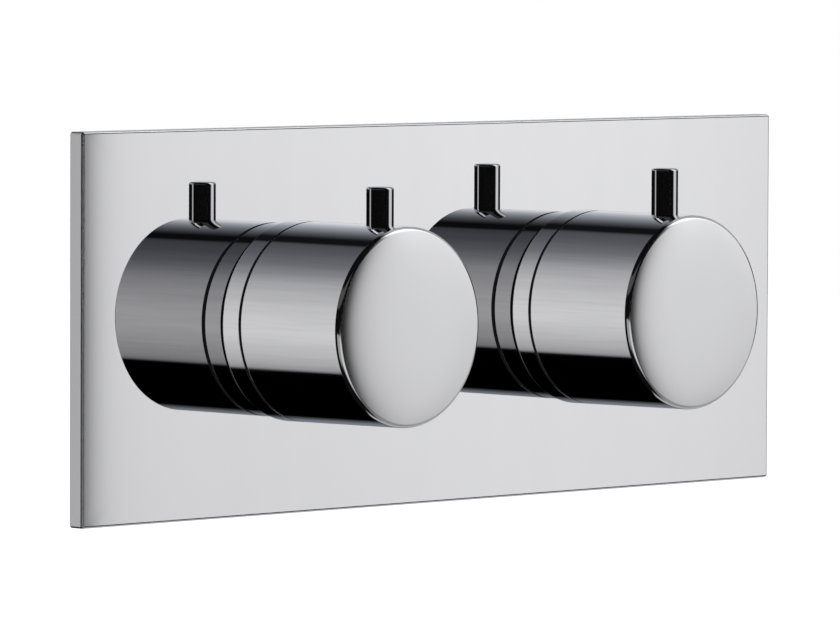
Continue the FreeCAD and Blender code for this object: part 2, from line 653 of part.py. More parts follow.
def spindle_blank():
    """The inner spindle: a thrust flange under the drum's roof, a seal groove and a splined end."""
    spindle = cylinder(SPINDLE_FLANGE_R, SPINDLE_FLANGE_REAR, SPINDLE_FLANGE_FRONT)
    spindle = spindle.fuse(cylinder(SPINDLE_R, SPINDLE_FLANGE_FRONT, KNOB_HUB_FLANGE_REAR - KNOB_HUB_REAR))
    spindle = spindle.fuse(splined(SPINDLE_R, KNOB_HUB_FLANGE_REAR - KNOB_HUB_REAR, SPINDLE_FRONT))
    groove_u = spindle_seal_u()
    half = O_RING_R + SEAT_FIT
    return spindle.cut(tube(SPINDLE_R + 1, SPINDLE_R - 2 * O_RING_R, groove_u - half, groove_u + half))


def spindle_seal_u():
    return (DRUM_FRONT + STEM_FRONT) / 2


def spindle_seal():
    return torus(SPINDLE_R - O_RING_R, O_RING_R, spindle_seal_u())


def face_seal(x, y, radius):
    """An O-ring that lies in the base's rear face round one port."""
    ring = torus(radius, FACE_SEAL_R, SEAT_U + FACE_SEAL_R)
    ring.translate(V(x, y, 0))
    return ring


def face_groove(x, y, radius):
    half = FACE_SEAL_R + SEAT_FIT
    groove = tube(radius + half, radius - half, SEAT_U - 1, SEAT_U + 2 * FACE_SEAL_R)
    groove.translate(V(x, y, 0))
    return groove


def port_seals():
    """The sealed ports of each cartridge base, as x, y and the radius of the ring round the port."""
    margin = FACE_SEAL_R + FACE_SEAL_MARGIN
    left = [
        (0, PORT_MID_R, port_bore_r() + margin),
        (0, -PORT_MID_R, port_bore_r() + margin),
        (0, 0, OUTLET_BORE_R + margin),
    ]
    right = [
        (*OUTER_PORT, port_bore_r() + margin),
        (*INNER_PORT, INNER_PORT_BORE_R + margin),
    ]
    return {"left": left, "right": right}


def rim_groove():
    """The groove round a cartridge base for the ring that seals it in the body's pocket."""
    middle = (SEAT_U + BASE_FRONT) / 2
    half = O_RING_R + SEAT_FIT
    return tube(HOUSING_R + 1, BODY_POCKET_R - 2 * O_RING_R - SEAT_FIT, middle - half, middle + half)


def rim_seal():
    return torus(BODY_POCKET_R - O_RING_R - SEAT_FIT / 2, O_RING_R, (SEAT_U + BASE_FRONT) / 2)


def port_bore_r():
    """The round hole through the body's seat below a kidney port."""
    return (PORT_OUTER_R - PORT_INNER_R) / 2


# ---- left cartridge: thermostatic mixing with its own flow control

def left_cartridge_base():
    base = cylinder(HOUSING_R, SEAT_U, BASE_FRONT)
    ports_u = (SEAT_U + BASE_FRONT) / 2
    for middle in (90, -90):
        base = base.cut(sector(PORT_INNER_R, PORT_OUTER_R, ports_u, BASE_FRONT + 1, middle, PORT_ANGLE))
    for side in (1, -1):
        base = base.cut(cylinder(port_bore_r(), SEAT_U - 1, BASE_FRONT, 0, side * PORT_MID_R))
    base = base.cut(cylinder(OUTLET_BORE_R, SEAT_U - 1, BASE_FRONT + 1))
    for x, y, radius in port_seals()["left"]:
        base = base.cut(face_groove(x, y, radius))
    return base


def left_fixed_disc():
    disc = tube(DISC_R, MIXER_R + SEAT_FIT, BASE_FRONT, FIXED_DISC_FRONT)
    start, end = BASE_FRONT - 1, FIXED_DISC_FRONT + 1
    for middle in (90, -90):
        disc = disc.cut(sector(PORT_INNER_R, PORT_OUTER_R, start, end, middle, PORT_ANGLE))
    return disc


def left_flow_disc():
    """Turned a quarter from the fixed disc's ports, so the rest position is shut."""
    disc = tube(DISC_R, DRUM_BORE_R, FLOW_DISC_REAR, DRUM_REAR)
    start, end = FLOW_DISC_REAR - 1, DRUM_REAR + 1
    for middle in (90 - QUARTER_TURN, -90 - QUARTER_TURN):
        disc = disc.cut(sector(PORT_INNER_R, PORT_OUTER_R, start, end, middle, PORT_ANGLE))
    return disc


def left_flow_drum():
    """Hot water enters the rear recess and cold water is led past it to the front recess."""
    drum = flow_drum_blank()
    hot_rear = HOT_SLOT_REAR - MOVE_GAP
    hot_front = HOT_SLOT_FRONT + MOVE_GAP
    cold_rear = COLD_SLOT_REAR - MOVE_GAP
    cold_front = COLD_SLOT_FRONT + MOVE_GAP
    channel_ring_r = DRUM_R - COLD_CHANNEL_R - COLD_CHANNEL_WALL
    hot_recess_r = channel_ring_r - COLD_CHANNEL_R - COLD_CHANNEL_WALL
    hot_middle = 90 - QUARTER_TURN
    cold_middle = -90 - QUARTER_TURN
    pocket_front = (DRUM_REAR + hot_rear) / 2
    drum = drum.cut(cylinder(hot_recess_r, hot_rear, hot_front))
    drum = drum.cut(cylinder(channel_ring_r, cold_rear, cold_front))
    drum = drum.cut(sector(PORT_INNER_R, PORT_OUTER_R, DRUM_REAR - 1, hot_front, hot_middle, PORT_ANGLE))
    drum = drum.cut(sector(PORT_INNER_R, PORT_OUTER_R, DRUM_REAR - 1, pocket_front, cold_middle, PORT_ANGLE))
    for turn in (-30, -15, 0, 15, 30):
        angle = math.radians(cold_middle + turn)
        x, y = channel_ring_r * math.cos(angle), channel_ring_r * math.sin(angle)
        drum = drum.cut(cylinder(COLD_CHANNEL_R, DRUM_REAR, (cold_rear + cold_front) / 2, x, y))
    return drum


def mixer_groove(u):
    half = O_RING_R + SEAT_FIT
    return tube(MIXER_R + 1, MIXER_R + DRUM_BORE_GAP - MOVE_GAP / 4 - 2 * O_RING_R, u - half, u + half)


def mixing_sleeve():
    """The fixed tube in which the shuttle and the setting nut slide."""
    sleeve = tube(MIXER_R, MIXER_BORE_R, BASE_FRONT, MIXER_FRONT)
    for rear in (HOT_SLOT_REAR, COLD_SLOT_REAR):
        for i in range(SLOT_COUNT):
            slot = Part.makeBox(2 * MIXER_R, SLOT_WIDTH, SLOT_HEIGHT, V(0, -SLOT_WIDTH / 2, rear))
            slot.rotate(V(0, 0, 0), UP, 360 * i / SLOT_COUNT)
            sleeve = sleeve.cut(slot)
    for u in (MID_SEAL_U, FRONT_SEAL_U):
        sleeve = sleeve.cut(mixer_groove(u))
    key_rear = FRONT_SEAL_U + 2 * O_RING_R
    width = NUT_KEY_WIDTH + 2 * RUNNING_FIT
    corner = V(-2 * MIXER_R, -width / 2, key_rear)
    return sleeve.cut(Part.makeBox(4 * MIXER_R, width, MIXER_FRONT - key_rear + 1, corner))


def mixing_sleeve_seals():
    ring_r = MIXER_R + DRUM_BORE_GAP - MOVE_GAP / 4 - O_RING_R
    return [torus(ring_r, O_RING_R, u) for u in (MID_SEAL_U, FRONT_SEAL_U)]


def mixing_shuttle():
    """A short piston that uncovers the hot slots as it covers the cold ones."""
    shuttle_r = MIXER_BORE_R - RUNNING_FIT
    shuttle = tube(shuttle_r, shuttle_r - SHUTTLE_WALL, SHUTTLE_REAR, SHUTTLE_FRONT)
    web = tube(shuttle_r, CAPSULE_NECK_R + SEAT_FIT, SHUTTLE_WEB_REAR, SHUTTLE_WEB_FRONT)
    hole_ring_r = (CAPSULE_FLANGE_R + shuttle_r - SHUTTLE_WALL) / 2
    hole_r = (shuttle_r - SHUTTLE_WALL - CAPSULE_FLANGE_R) / 2 - MOVE_GAP
    for i in range(SLOT_COUNT):
        angle = 2 * math.pi * i / SLOT_COUNT
        x, y = hole_ring_r * math.cos(angle), hole_ring_r * math.sin(angle)
        web = web.cut(cylinder(hole_r, SHUTTLE_WEB_REAR - 1, SHUTTLE_WEB_FRONT + 1, x, y))
    return shuttle.fuse(web).removeSplitter()


def thermostat_element():
    """The wax capsule: a tail in the mixed water, a flange under the shuttle and a guide neck."""
    flange_rear = SHUTTLE_WEB_REAR - CAPSULE_FLANGE
    capsule = cylinder(CAPSULE_R, flange_rear - CAPSULE_TAIL, flange_rear)
    capsule = capsule.fuse(cylinder(CAPSULE_FLANGE_R, flange_rear, SHUTTLE_WEB_REAR))
    capsule = capsule.fuse(cylinder(CAPSULE_NECK_R, SHUTTLE_WEB_REAR, SHUTTLE_WEB_FRONT + CAPSULE_NECK))
    bore_rear = SHUTTLE_WEB_REAR - CAPSULE_FLANGE
    return capsule.cut(cylinder(PISTON_R + RUNNING_FIT, bore_rear, SHUTTLE_WEB_FRONT + CAPSULE_NECK + 1))


def thermostat_piston():
    return cylinder(PISTON_R, SHUTTLE_WEB_REAR, PLUNGER_REAR)


def overload_plunger():
    return cylinder(PLUNGER_R, PLUNGER_REAR, PLUNGER_FRONT)


def setting_nut():
    """Keyed in the sleeve, so the turning spindle screws it in and out."""
    nut_r = MIXER_BORE_R - RUNNING_FIT
    nut = cylinder(nut_r, NUT_REAR, NUT_FRONT)
    key_length = 2 * (nut_r + NUT_KEY_REACH)
    key = Part.makeBox(key_length, NUT_KEY_WIDTH, NUT_FRONT - NUT_SHELF,
                       V(-key_length / 2, -NUT_KEY_WIDTH / 2, NUT_SHELF))
    nut = nut.fuse(key)
    nut = nut.cut(cylinder(PLUNGER_R + MOVE_GAP, NUT_REAR - 1, NUT_SHELF))
    return nut.cut(cylinder(NUT_THREAD_R, NUT_SHELF - 1, NUT_FRONT + 1))


def temperature_spindle():
    thread = cylinder(NUT_THREAD_R - SEAT_FIT, NUT_SHELF - 2 * MOVE_GAP, SPINDLE_FLANGE_REAR)
    return spindle_blank().fuse(thread)


# ---- right cartridge: two flow controls, one round the other

def right_cartridge_base():
    base = cylinder(HOUSING_R, SEAT_U, BASE_FRONT)
    middle = (SEAT_U + BASE_FRONT) / 2
    base = base.cut(sector(PORT_INNER_R, PORT_OUTER_R, middle, BASE_FRONT + 1, OUTER_PORT_TURN, PORT_ANGLE))
    base = base.cut(cylinder(port_bore_r(), SEAT_U - 1, BASE_FRONT, *OUTER_PORT))
    base = base.cut(cylinder(INNER_PORT_BORE_R, SEAT_U - 1, BASE_FRONT + 1, *INNER_PORT))
    base = base.cut(cylinder(INLET_PORT_R, SEAT_U - 1, BASE_FRONT + 1))
    for x, y, radius in port_seals()["right"]:
        base = base.cut(face_groove(x, y, radius))
    return base.cut(rim_groove())


def right_fixed_disc():
    disc = cylinder(DISC_R, BASE_FRONT, FIXED_DISC_FRONT)
    start, end = BASE_FRONT - 1, FIXED_DISC_FRONT + 1
    disc = disc.cut(sector(PORT_INNER_R, PORT_OUTER_R, start, end, OUTER_PORT_TURN, PORT_ANGLE))
    disc = disc.cut(cylinder(INNER_PORT_BORE_R, start, end, *INNER_PORT))
    return disc.cut(cylinder(INLET_PORT_R, start, end))


def right_outer_disc():
    disc = tube(DISC_R, DRUM_BORE_R, FLOW_DISC_REAR, DRUM_REAR)
    middle = OUTER_PORT_TURN - QUARTER_TURN
    return disc.cut(sector(PORT_INNER_R, PORT_OUTER_R, FLOW_DISC_REAR - 1, DRUM_REAR + 1, middle, PORT_ANGLE))


def right_inner_disc():
    """Water rises through its middle; its side hole meets the outlet hole after a quarter turn."""
    disc = cylinder(INNER_DISC_R, FLOW_DISC_REAR, DRUM_REAR)
    start, end = FLOW_DISC_REAR - 1, DRUM_REAR + 1
    disc = disc.cut(cylinder(INLET_PORT_R, start, end))
    return disc.cut(cylinder(INNER_PORT_BORE_R, start, end, *shut_inner_port()))


def shut_inner_port():
    """Where the inner disc's side hole rests, a quarter turn short of the outlet hole."""
    x, y = INNER_PORT
    turn = math.radians(-QUARTER_TURN)
    return (x * math.cos(turn) - y * math.sin(turn), x * math.sin(turn) + y * math.cos(turn))


def right_flow_drum():
    """Windows in the drum's wall let the water reach both discs."""
    drum = flow_drum_blank()
    start = DRUM_REAR + DRUM_FLANGE
    window_height = (DRUM_ROOF - start) / 2
    for turn in (45, 135):
        window = Part.makeBox(4 * DRUM_R, SLOT_WIDTH * 2, window_height, V(-2 * DRUM_R, -SLOT_WIDTH, start))
        window.rotate(V(0, 0, 0), UP, turn)
        drum = drum.cut(window)
    middle = OUTER_PORT_TURN - QUARTER_TURN
    return drum.cut(sector(PORT_INNER_R, PORT_OUTER_R, DRUM_REAR - 1, start + 1, middle, PORT_ANGLE))


def right_spindle():
    """The inner spindle carries a driver plate that turns the inner disc."""
    driver = cylinder(INNER_DISC_R, DRUM_REAR, DRUM_REAR + DRUM_FLANGE)
    spindle = spindle_blank().fuse(driver)
    spindle = spindle.fuse(cylinder(SPINDLE_R, DRUM_REAR + DRUM_FLANGE, SPINDLE_FLANGE_REAR))
    top = DRUM_REAR + DRUM_FLANGE + 1
    link_rear = DRUM_REAR + DRUM_FLANGE / 4
    spindle = spindle.cut(cylinder(INLET_PORT_R, DRUM_REAR - 1, DRUM_REAR + DRUM_FLANGE / 2))
    x, y = shut_inner_port()
    outlet = cylinder(INNER_PORT_BORE_R, DRUM_REAR - 1, top, x, y)
    inlet = cylinder(INNER_PORT_BORE_R, link_rear, top, -x, -y)
    link = Part.makeBox(INNER_PORT_R, INLET_PORT_R, DRUM_FLANGE / 4, V(0, -INLET_PORT_R / 2, link_rear))
    link.rotate(V(0, 0, 0), UP, math.degrees(math.atan2(-y, -x)))
    return spindle.cut(outlet).cut(inlet).cut(link)


# ---- cast body

def body_castings():
    """The outside of the casting: bosses for the cartridges, tubes between them and the four ports."""
    castings = [
        out_cylinder(BOSS_R, -LEFT_BOSS_DEPTH, SEAT_U, LEFT_X, STACK_Z),
        out_cylinder(BOSS_R, -RIGHT_BOSS_DEPTH, SEAT_U, RIGHT_X, STACK_Z),
        cross_cylinder(RAIL_R, LEFT_X, HOT_INLET_X + RAIL_END, RAIL_DEPTH, HOT_Z),
        cross_cylinder(RAIL_R, LEFT_X, RIGHT_X, RAIL_DEPTH, STACK_Z),
        cross_cylinder(RAIL_R, LEFT_X, COLD_INLET_X + RAIL_END, RAIL_DEPTH, COLD_Z),
        up_cylinder(PIPE_R, OUTLET_1_Z, PORT_FACE_Z - 1, OUTLET_1_X, OUTLET_DEPTH),
        up_cylinder(PIPE_R, OUTLET_2_Z, 1 - PORT_FACE_Z, OUTLET_2_X, OUTLET_DEPTH),
        up_cylinder(PORT_BOSS_R, PORT_FACE_Z - PORT_BOSS_LENGTH, PORT_FACE_Z, OUTLET_1_X, OUTLET_DEPTH),
        up_cylinder(PORT_BOSS_R, PORT_BOSS_LENGTH - PORT_FACE_Z, -PORT_FACE_Z, OUTLET_2_X, OUTLET_DEPTH),
    ]
    inlet_top = CAGE_TOP_Z + POPPET_TRAVEL
    for x, z in ((HOT_INLET_X, HOT_Z), (COLD_INLET_X, COLD_Z)):
        castings.append(up_cylinder(PORT_BOSS_R, -PORT_FACE_Z, inlet_top, x, INLET_DEPTH))
        castings.append(up_cylinder(PIPE_R, inlet_top - 1, max(z, inlet_top) + PIPE_R, x, INLET_DEPTH))
        castings.append(out_cylinder(LINK_R, -INLET_DEPTH, -RAIL_DEPTH, x, z))
    for x, z in post_places():
        castings.append(out_cylinder(POST_R, -BACK_DEPTH, -RAIL_DEPTH, x, z))
    for x in STACKS.values():
        castings.append(out_cylinder(SPIGOT_THREAD_R, SEAT_U, BODY_SPIGOT, x, STACK_Z))
    return castings


def post_places():
    """Four posts carry the body on the mounting plate, two on each outer waterway."""
    return [(LEFT_POST_X, HOT_Z), (LEFT_POST_X, COLD_Z), (HOT_POST_X, HOT_Z), (COLD_POST_X, COLD_Z)]


def body_bores():
    """The waterways, the pockets for the cartridges and the threaded ports."""
    thread_end = PORT_THREAD_LENGTH - PORT_FACE_Z
    bores = [
        cross_cylinder(RAIL_BORE_R, LEFT_X - RAIL_BORE_R, HOT_INLET_X + RAIL_END + 1, RAIL_DEPTH, HOT_Z),
        cross_cylinder(RAIL_BORE_R, LEFT_X - BOSS_R - 1, RIGHT_X + INLET_PORT_R / 2, RAIL_DEPTH, STACK_Z),
        cross_cylinder(RAIL_BORE_R, LEFT_X - RAIL_BORE_R, COLD_INLET_X + RAIL_END + 1, RAIL_DEPTH, COLD_Z),
        out_cylinder(port_bore_r(), -RAIL_DEPTH, SEAT_U + 1, LEFT_X, STACK_Z + PORT_MID_R),
        out_cylinder(port_bore_r(), -RAIL_DEPTH, SEAT_U + 1, LEFT_X, STACK_Z - PORT_MID_R),
        out_cylinder(LINK_BORE_R, -RAIL_DEPTH, SEAT_U + 1, LEFT_X, STACK_Z),
        out_cylinder(INLET_PORT_R, -RAIL_DEPTH, SEAT_U + 1, RIGHT_X, STACK_Z),
        out_cylinder(port_bore_r(), -OUTLET_DEPTH, SEAT_U + 1, OUTLET_1_X, OUTLET_1_Z),
        out_cylinder(INNER_PORT_BORE_R, -OUTLET_DEPTH, SEAT_U + 1, OUTLET_2_X, OUTLET_2_Z),
        up_cylinder(PIPE_BORE_R, OUTLET_1_Z - 2 * port_bore_r(), PORT_FACE_Z, OUTLET_1_X, OUTLET_DEPTH),
        up_cylinder(PIPE_BORE_R, OUTLET_2_Z + 2 * INNER_PORT_BORE_R, -PORT_FACE_Z, OUTLET_2_X, OUTLET_DEPTH),
        up_cylinder(PORT_THREAD_R, -thread_end, PORT_FACE_Z + 1, OUTLET_1_X, OUTLET_DEPTH),
        up_cylinder(PORT_THREAD_R, thread_end, -PORT_FACE_Z - 1, OUTLET_2_X, OUTLET_DEPTH),
    ]
    cage_pocket_r = CAGE_R + SEAT_FIT
    relief_r = PORT_THREAD_R + RELIEF_EXTRA_R
    for x, z in ((HOT_INLET_X, HOT_Z), (COLD_INLET_X, COLD_Z)):
        bore_top = max(z, CAGE_TOP_Z + POPPET_TRAVEL)
        bores.append(up_cylinder(PORT_THREAD_R, -PORT_FACE_Z - 1, thread_end, x, INLET_DEPTH))
        bores.append(up_cylinder(relief_r, thread_end, RELIEF_END_Z, x, INLET_DEPTH))
        bores.append(up_cylinder(cage_pocket_r, RELIEF_END_Z, CAGE_TOP_Z, x, INLET_DEPTH))
        bores.append(up_cylinder(PIPE_BORE_R, CAGE_TOP_Z - 1, bore_top, x, INLET_DEPTH))
        bores.append(out_cylinder(LINK_BORE_R, -INLET_DEPTH, -RAIL_DEPTH, x, z))
    for x, z in post_places():
        bores.append(out_cylinder(POST_SCREW_R, -BACK_DEPTH - 1, -BACK_DEPTH + POST_SCREW_DEPTH, x, z))
    for x in STACKS.values():
        bores.append(out_cylinder(BODY_POCKET_R, SEAT_U, BODY_SPIGOT + 1, x, STACK_Z))
    for place in plug_places():
        bores.append(plug_pocket(place))
    return bores


def valve_body():
    first, *rest = body_castings()
    body = first.multiFuse(rest)
    for bore in body_bores():
        body = body.cut(bore)
    return body


def plug_places():
    """The drilled ends of the three waterways, as the mouth's x, its z and the way it faces."""
    boss_flank = math.sqrt(BOSS_R ** 2 - PLUG_R ** 2)
    return [
        (HOT_INLET_X + RAIL_END, HOT_Z, 1),
        (COLD_INLET_X + RAIL_END, COLD_Z, 1),
        (LEFT_X - boss_flank, STACK_Z, -1),
    ]


def plug_pocket(place):
    x, z, way = place
    low, high = sorted((x - way * PLUG_LENGTH, x + way * BOSS_R))
    return cross_cylinder(PLUG_R, low, high, RAIL_DEPTH, z)


def channel_plug(place):
    """A threaded plug with a hexagon socket, flush with the end of a waterway."""
    x, z, way = place
    low, high = sorted((x - way * (PLUG_LENGTH - SEAT_FIT), x))
    plug = cross_cylinder(PLUG_R - SEAT_FIT, low, high, RAIL_DEPTH, z)
    socket = hexagon(PLUG_HEX, 0, PLUG_LENGTH / 2)
    socket.rotate(V(0, 0, 0), V(0, 1, 0), -90 * way)
    socket.translate(V(x, RAIL_DEPTH, z))
    return plug.cut(socket)


# ---- inlet fittings, each drawn upright about its own axis at the height where it sits

def inlet_strainer():
    """A slotted thimble whose flange the supply pipe's washer holds."""
    flange_z = RELIEF_END_Z - STRAINER_FLANGE
    top = RELIEF_END_Z + STRAINER_LENGTH
    strainer = cylinder(STRAINER_FLANGE_R, flange_z, RELIEF_END_Z)
    strainer = strainer.fuse(cylinder(STRAINER_R, RELIEF_END_Z, top))
    strainer = strainer.cut(cylinder(STRAINER_R - STRAINER_WALL, flange_z - 1, top - STRAINER_WALL))
    slot_height = STRAINER_LENGTH - 4 * STRAINER_WALL
    for i in range(STRAINER_SLOTS):
        slot = Part.makeBox(2 * STRAINER_R, STRAINER_SLOT_WIDTH, slot_height,
                            V(0, -STRAINER_SLOT_WIDTH / 2, RELIEF_END_Z + 2 * STRAINER_WALL))
        slot.rotate(V(0, 0, 0), UP, 360 * i / STRAINER_SLOTS)
        strainer = strainer.cut(slot)
    return strainer


def check_valve_cage():
    """A tube with a seat at its inlet and a ribbed web that guides the poppet's stem."""
    cage = tube(CAGE_R, CAGE_R - CAGE_WALL, CAGE_BOTTOM_Z, CAGE_TOP_Z)
    cage = cage.fuse(tube(CAGE_R, CAGE_SEAT_R, CAGE_BOTTOM_Z, CAGE_BOTTOM_Z + CAGE_SEAT))
    web_z = CAGE_TOP_Z - CAGE_WEB
    web = cylinder(CAGE_HUB_R, web_z, CAGE_TOP_Z)
    reach = 2 * (CAGE_R - CAGE_WALL / 2)
    for turn in (0, 90):
        rib = Part.makeBox(reach, CAGE_RIB, CAGE_WEB, V(-reach / 2, -CAGE_RIB / 2, web_z))
        rib.rotate(V(0, 0, 0), UP, turn)
        web = web.fuse(rib)
    guide = cylinder(POPPET_STEM_R + RUNNING_FIT, web_z - 1, CAGE_TOP_Z + 1)
    return cage.fuse(web).cut(guide).removeSplitter()


def check_poppet():
    disc = cylinder(POPPET_R, POPPET_Z, POPPET_Z + POPPET_THICKNESS)
    return disc.fuse(cylinder(POPPET_STEM_R, POPPET_Z + POPPET_THICKNESS, CAGE_TOP_Z - MOVE_GAP))


def check_spring():
    return coil(CHECK_SPRING_R, CHECK_SPRING_WIRE_R, POPPET_Z + POPPET_THICKNESS, CAGE_TOP_Z - CAGE_WEB)


def at_inlet(shape, x):
    return shape.translated(V(x, INLET_DEPTH, 0))


# ---- mounting plate and its screws

def bracket_hole_places():
    half = BRACKET_HEIGHT / 2 - BRACKET_HOLE_INSET
    left = BRACKET_LEFT + BRACKET_HOLE_INSET
    right = BRACKET_RIGHT - BRACKET_HOLE_INSET
    return [(x, z) for x in (left, right) for z in (-half, half)]


def mounting_plate():
    """A flat steel plate behind the body, screwed to the studs inside the wall."""
    width = BRACKET_RIGHT - BRACKET_LEFT
    rear = -BACK_DEPTH - BRACKET_THICKNESS
    plate = rounded_box(width, BRACKET_HEIGHT, BRACKET_CORNER_R, rear, -BACK_DEPTH)
    plate.translate(V((BRACKET_LEFT + BRACKET_RIGHT) / 2, 0, 0))
    for x, z in bracket_hole_places():
        plate = plate.cut(out_cylinder(BRACKET_HOLE_R, rear - 1, -BACK_DEPTH + 1, x, z))
    for x, z in post_places():
        plate = plate.cut(out_cylinder(POST_SCREW_R + MOVE_GAP, rear - 1, -BACK_DEPTH + 1, x, z))
    return plate


def body_screw(x, z):
    """A slotted round-head screw that enters a post from behind the mounting plate."""
    head_front = -BACK_DEPTH - BRACKET_THICKNESS
    head_rear = head_front - SCREW_HEAD_HEIGHT
    tip = -BACK_DEPTH + POST_SCREW_DEPTH - MOVE_GAP
    body = out_cylinder(SCREW_HEAD_R, head_rear, head_front, x, z)
    body = body.fuse(out_cylinder(POST_SCREW_R - SEAT_FIT, head_front, tip, x, z))
    corner = V(x - SCREW_HEAD_R, -head_rear - SCREW_SLOT, z - SCREW_SLOT / 2)
    return body.cut(Part.makeBox(2 * SCREW_HEAD_R, 2 * SCREW_SLOT, SCREW_SLOT, corner))


# ---- write every node

def save_wall_side():
    save("wall_plate", wall_plate())
    save("wall_gasket", wall_gasket())
    save("plate_grommets", *[at_stack(plate_grommet(), stack) for stack in STACKS])
    save("valve_body", valve_body())
    save("mounting_plate", mounting_plate())
    save("body_screws", *[body_screw(x, z) for x, z in post_places()])
    save("channel_plugs", *[channel_plug(place) for place in plug_places()])


def save_inlets():
    inlets = {"hot": HOT_INLET_X, "cold": COLD_INLET_X}
    save("inlet_strainers", *[at_inlet(inlet_strainer(), x) for x in inlets.values()])
    save("check_valve_cages", *[at_inlet(check_valve_cage(), x) for x in inlets.values()])
    for name, x in inlets.items():
        save(name + "_check_poppet", at_inlet(check_poppet(), x))
        save(name + "_check_spring", at_inlet(check_spring(), x))


def save_shared_cartridge_parts():
    seals = [at_stack(face_seal(*ring), stack) for stack in STACKS for ring in port_seals()[stack]]
    save("cartridge_base_seals", *seals, at_stack(rim_seal(), "right"))
    save("stem_seals", *[at_stack(ring, stack) for stack in STACKS for ring in stem_seals()])
    save("barrel_nuts", *[at_stack(barrel_nut(), stack) for stack in STACKS])
    save("guide_rings", *[at_stack(guide_ring(), stack) for stack in STACKS])
    for stack in STACKS:
        save(stack + "_cartridge_housing", at_stack(cartridge_housing(), stack))
        save(stack + "_spindle_seal", at_stack(spindle_seal(), stack))


def save_left_cartridge():
    spring_front = SHUTTLE_WEB_REAR
    pieces = {
        "left_cartridge_base": left_cartridge_base(),
        "left_fixed_disc": left_fixed_disc(),
        "left_flow_disc": left_flow_disc(),
        "left_flow_drum": left_flow_drum(),
        "mixing_sleeve": mixing_sleeve(),
        "mixing_shuttle": mixing_shuttle(),
        "thermostat_element": thermostat_element(),
        "thermostat_piston": thermostat_piston(),
        "overload_plunger": overload_plunger(),
        "overload_spring": coil(OVERLOAD_SPRING_R, OVERLOAD_SPRING_WIRE_R, PLUNGER_FRONT, NUT_SHELF),
        "return_spring": coil(RETURN_SPRING_R, RETURN_SPRING_WIRE_R, BASE_FRONT, spring_front),
        "setting_nut": setting_nut(),
        "temperature_spindle": temperature_spindle(),
    }
    for name, piece in pieces.items():
        save(name, at_stack(piece, "left"))
    save("mixing_sleeve_seals", *[at_stack(ring, "left") for ring in mixing_sleeve_seals()])


def save_right_cartridge():
    pieces = {
        "right_cartridge_base": right_cartridge_base(),
        "right_fixed_disc": right_fixed_disc(),
        "right_outer_disc": right_outer_disc(),
        "right_inner_disc": right_inner_disc(),
        "right_flow_drum": right_flow_drum(),
        "right_spindle": right_spindle(),
    }
    for name, piece in pieces.items():
        save(name, at_stack(piece, "right"))


os.makedirs("parts", exist_ok=True)
save_wall_side()
save_inlets()
save_shared_cartridge_parts()
save_left_cartridge()
save_right_cartridge()
for stack_name in STACKS:
    save_handles(stack_name)
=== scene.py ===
import json
import math

import bpy
import numpy as np
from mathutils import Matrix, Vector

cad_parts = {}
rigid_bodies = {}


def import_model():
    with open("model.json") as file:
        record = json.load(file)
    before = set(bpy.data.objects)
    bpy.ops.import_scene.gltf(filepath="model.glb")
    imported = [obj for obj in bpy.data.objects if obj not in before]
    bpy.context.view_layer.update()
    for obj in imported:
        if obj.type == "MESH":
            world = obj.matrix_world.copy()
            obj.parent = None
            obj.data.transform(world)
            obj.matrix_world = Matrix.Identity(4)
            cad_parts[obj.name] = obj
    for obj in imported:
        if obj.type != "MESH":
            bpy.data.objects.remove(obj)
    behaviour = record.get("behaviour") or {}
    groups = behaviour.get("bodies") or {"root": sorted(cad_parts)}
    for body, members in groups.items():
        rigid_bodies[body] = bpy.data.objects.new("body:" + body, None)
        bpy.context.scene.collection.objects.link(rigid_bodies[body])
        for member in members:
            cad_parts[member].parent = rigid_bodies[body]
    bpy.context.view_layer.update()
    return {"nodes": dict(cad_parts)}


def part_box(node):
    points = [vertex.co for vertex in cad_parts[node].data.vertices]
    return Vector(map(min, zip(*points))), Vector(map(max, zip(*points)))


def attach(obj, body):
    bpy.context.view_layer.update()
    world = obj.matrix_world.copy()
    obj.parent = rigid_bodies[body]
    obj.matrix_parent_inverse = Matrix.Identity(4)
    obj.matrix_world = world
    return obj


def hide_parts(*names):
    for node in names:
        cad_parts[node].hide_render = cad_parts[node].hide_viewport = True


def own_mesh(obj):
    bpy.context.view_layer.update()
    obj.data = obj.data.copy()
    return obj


# Looks of the concealed thermostatic shower valve, in the order in which it is put together on the wall.
# Metres. +X runs along the plate to the right, +Z is up and -Y points out of the wall to the user.
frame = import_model()
nodes = frame["nodes"]


# ---- mounting plate and body screws
# A bracket laser-cut from 2 mm steel sheet and zinc-plated, screwed to the wall behind the body.
# Four slotted screws, zinc-plated as well, hold the cast body on it.


def calc(tree, operation, *values):
    """Carries an arithmetic step over two or more sockets or plain numbers."""
    total = values[0]
    for value in values[1:]:
        node = tree.nodes.new("ShaderNodeMath")
        node.operation = operation
        for slot, term in enumerate((total, value)):
            if isinstance(term, (int, float)):
                node.inputs[slot].default_value = term
            else:
                tree.links.new(term, node.inputs[slot])
        total = node.outputs[0]
    return total


def effect_group(name, **inputs):
    """A new shared effect with these inputs, a Tone of 0 to 1 and the Normal of a bump of its Depth."""
    group = bpy.data.node_groups.new(name, "ShaderNodeTree")
    for socket, kind in inputs.items():
        group.interface.new_socket(socket, in_out="INPUT", socket_type="NodeSocket" + kind)
    for socket, kind in (("Tone", "Float"), ("Normal", "Vector")):
        group.interface.new_socket(socket, in_out="OUTPUT", socket_type="NodeSocket" + kind)
    source = group.nodes.new("NodeGroupInput")
    result = group.nodes.new("NodeGroupOutput")
    bump = group.nodes.new("ShaderNodeBump")
    group.links.new(source.outputs["Depth"], bump.inputs["Distance"])
    group.links.new(bump.outputs[0], result.inputs["Normal"])
    return group, source, result, bump


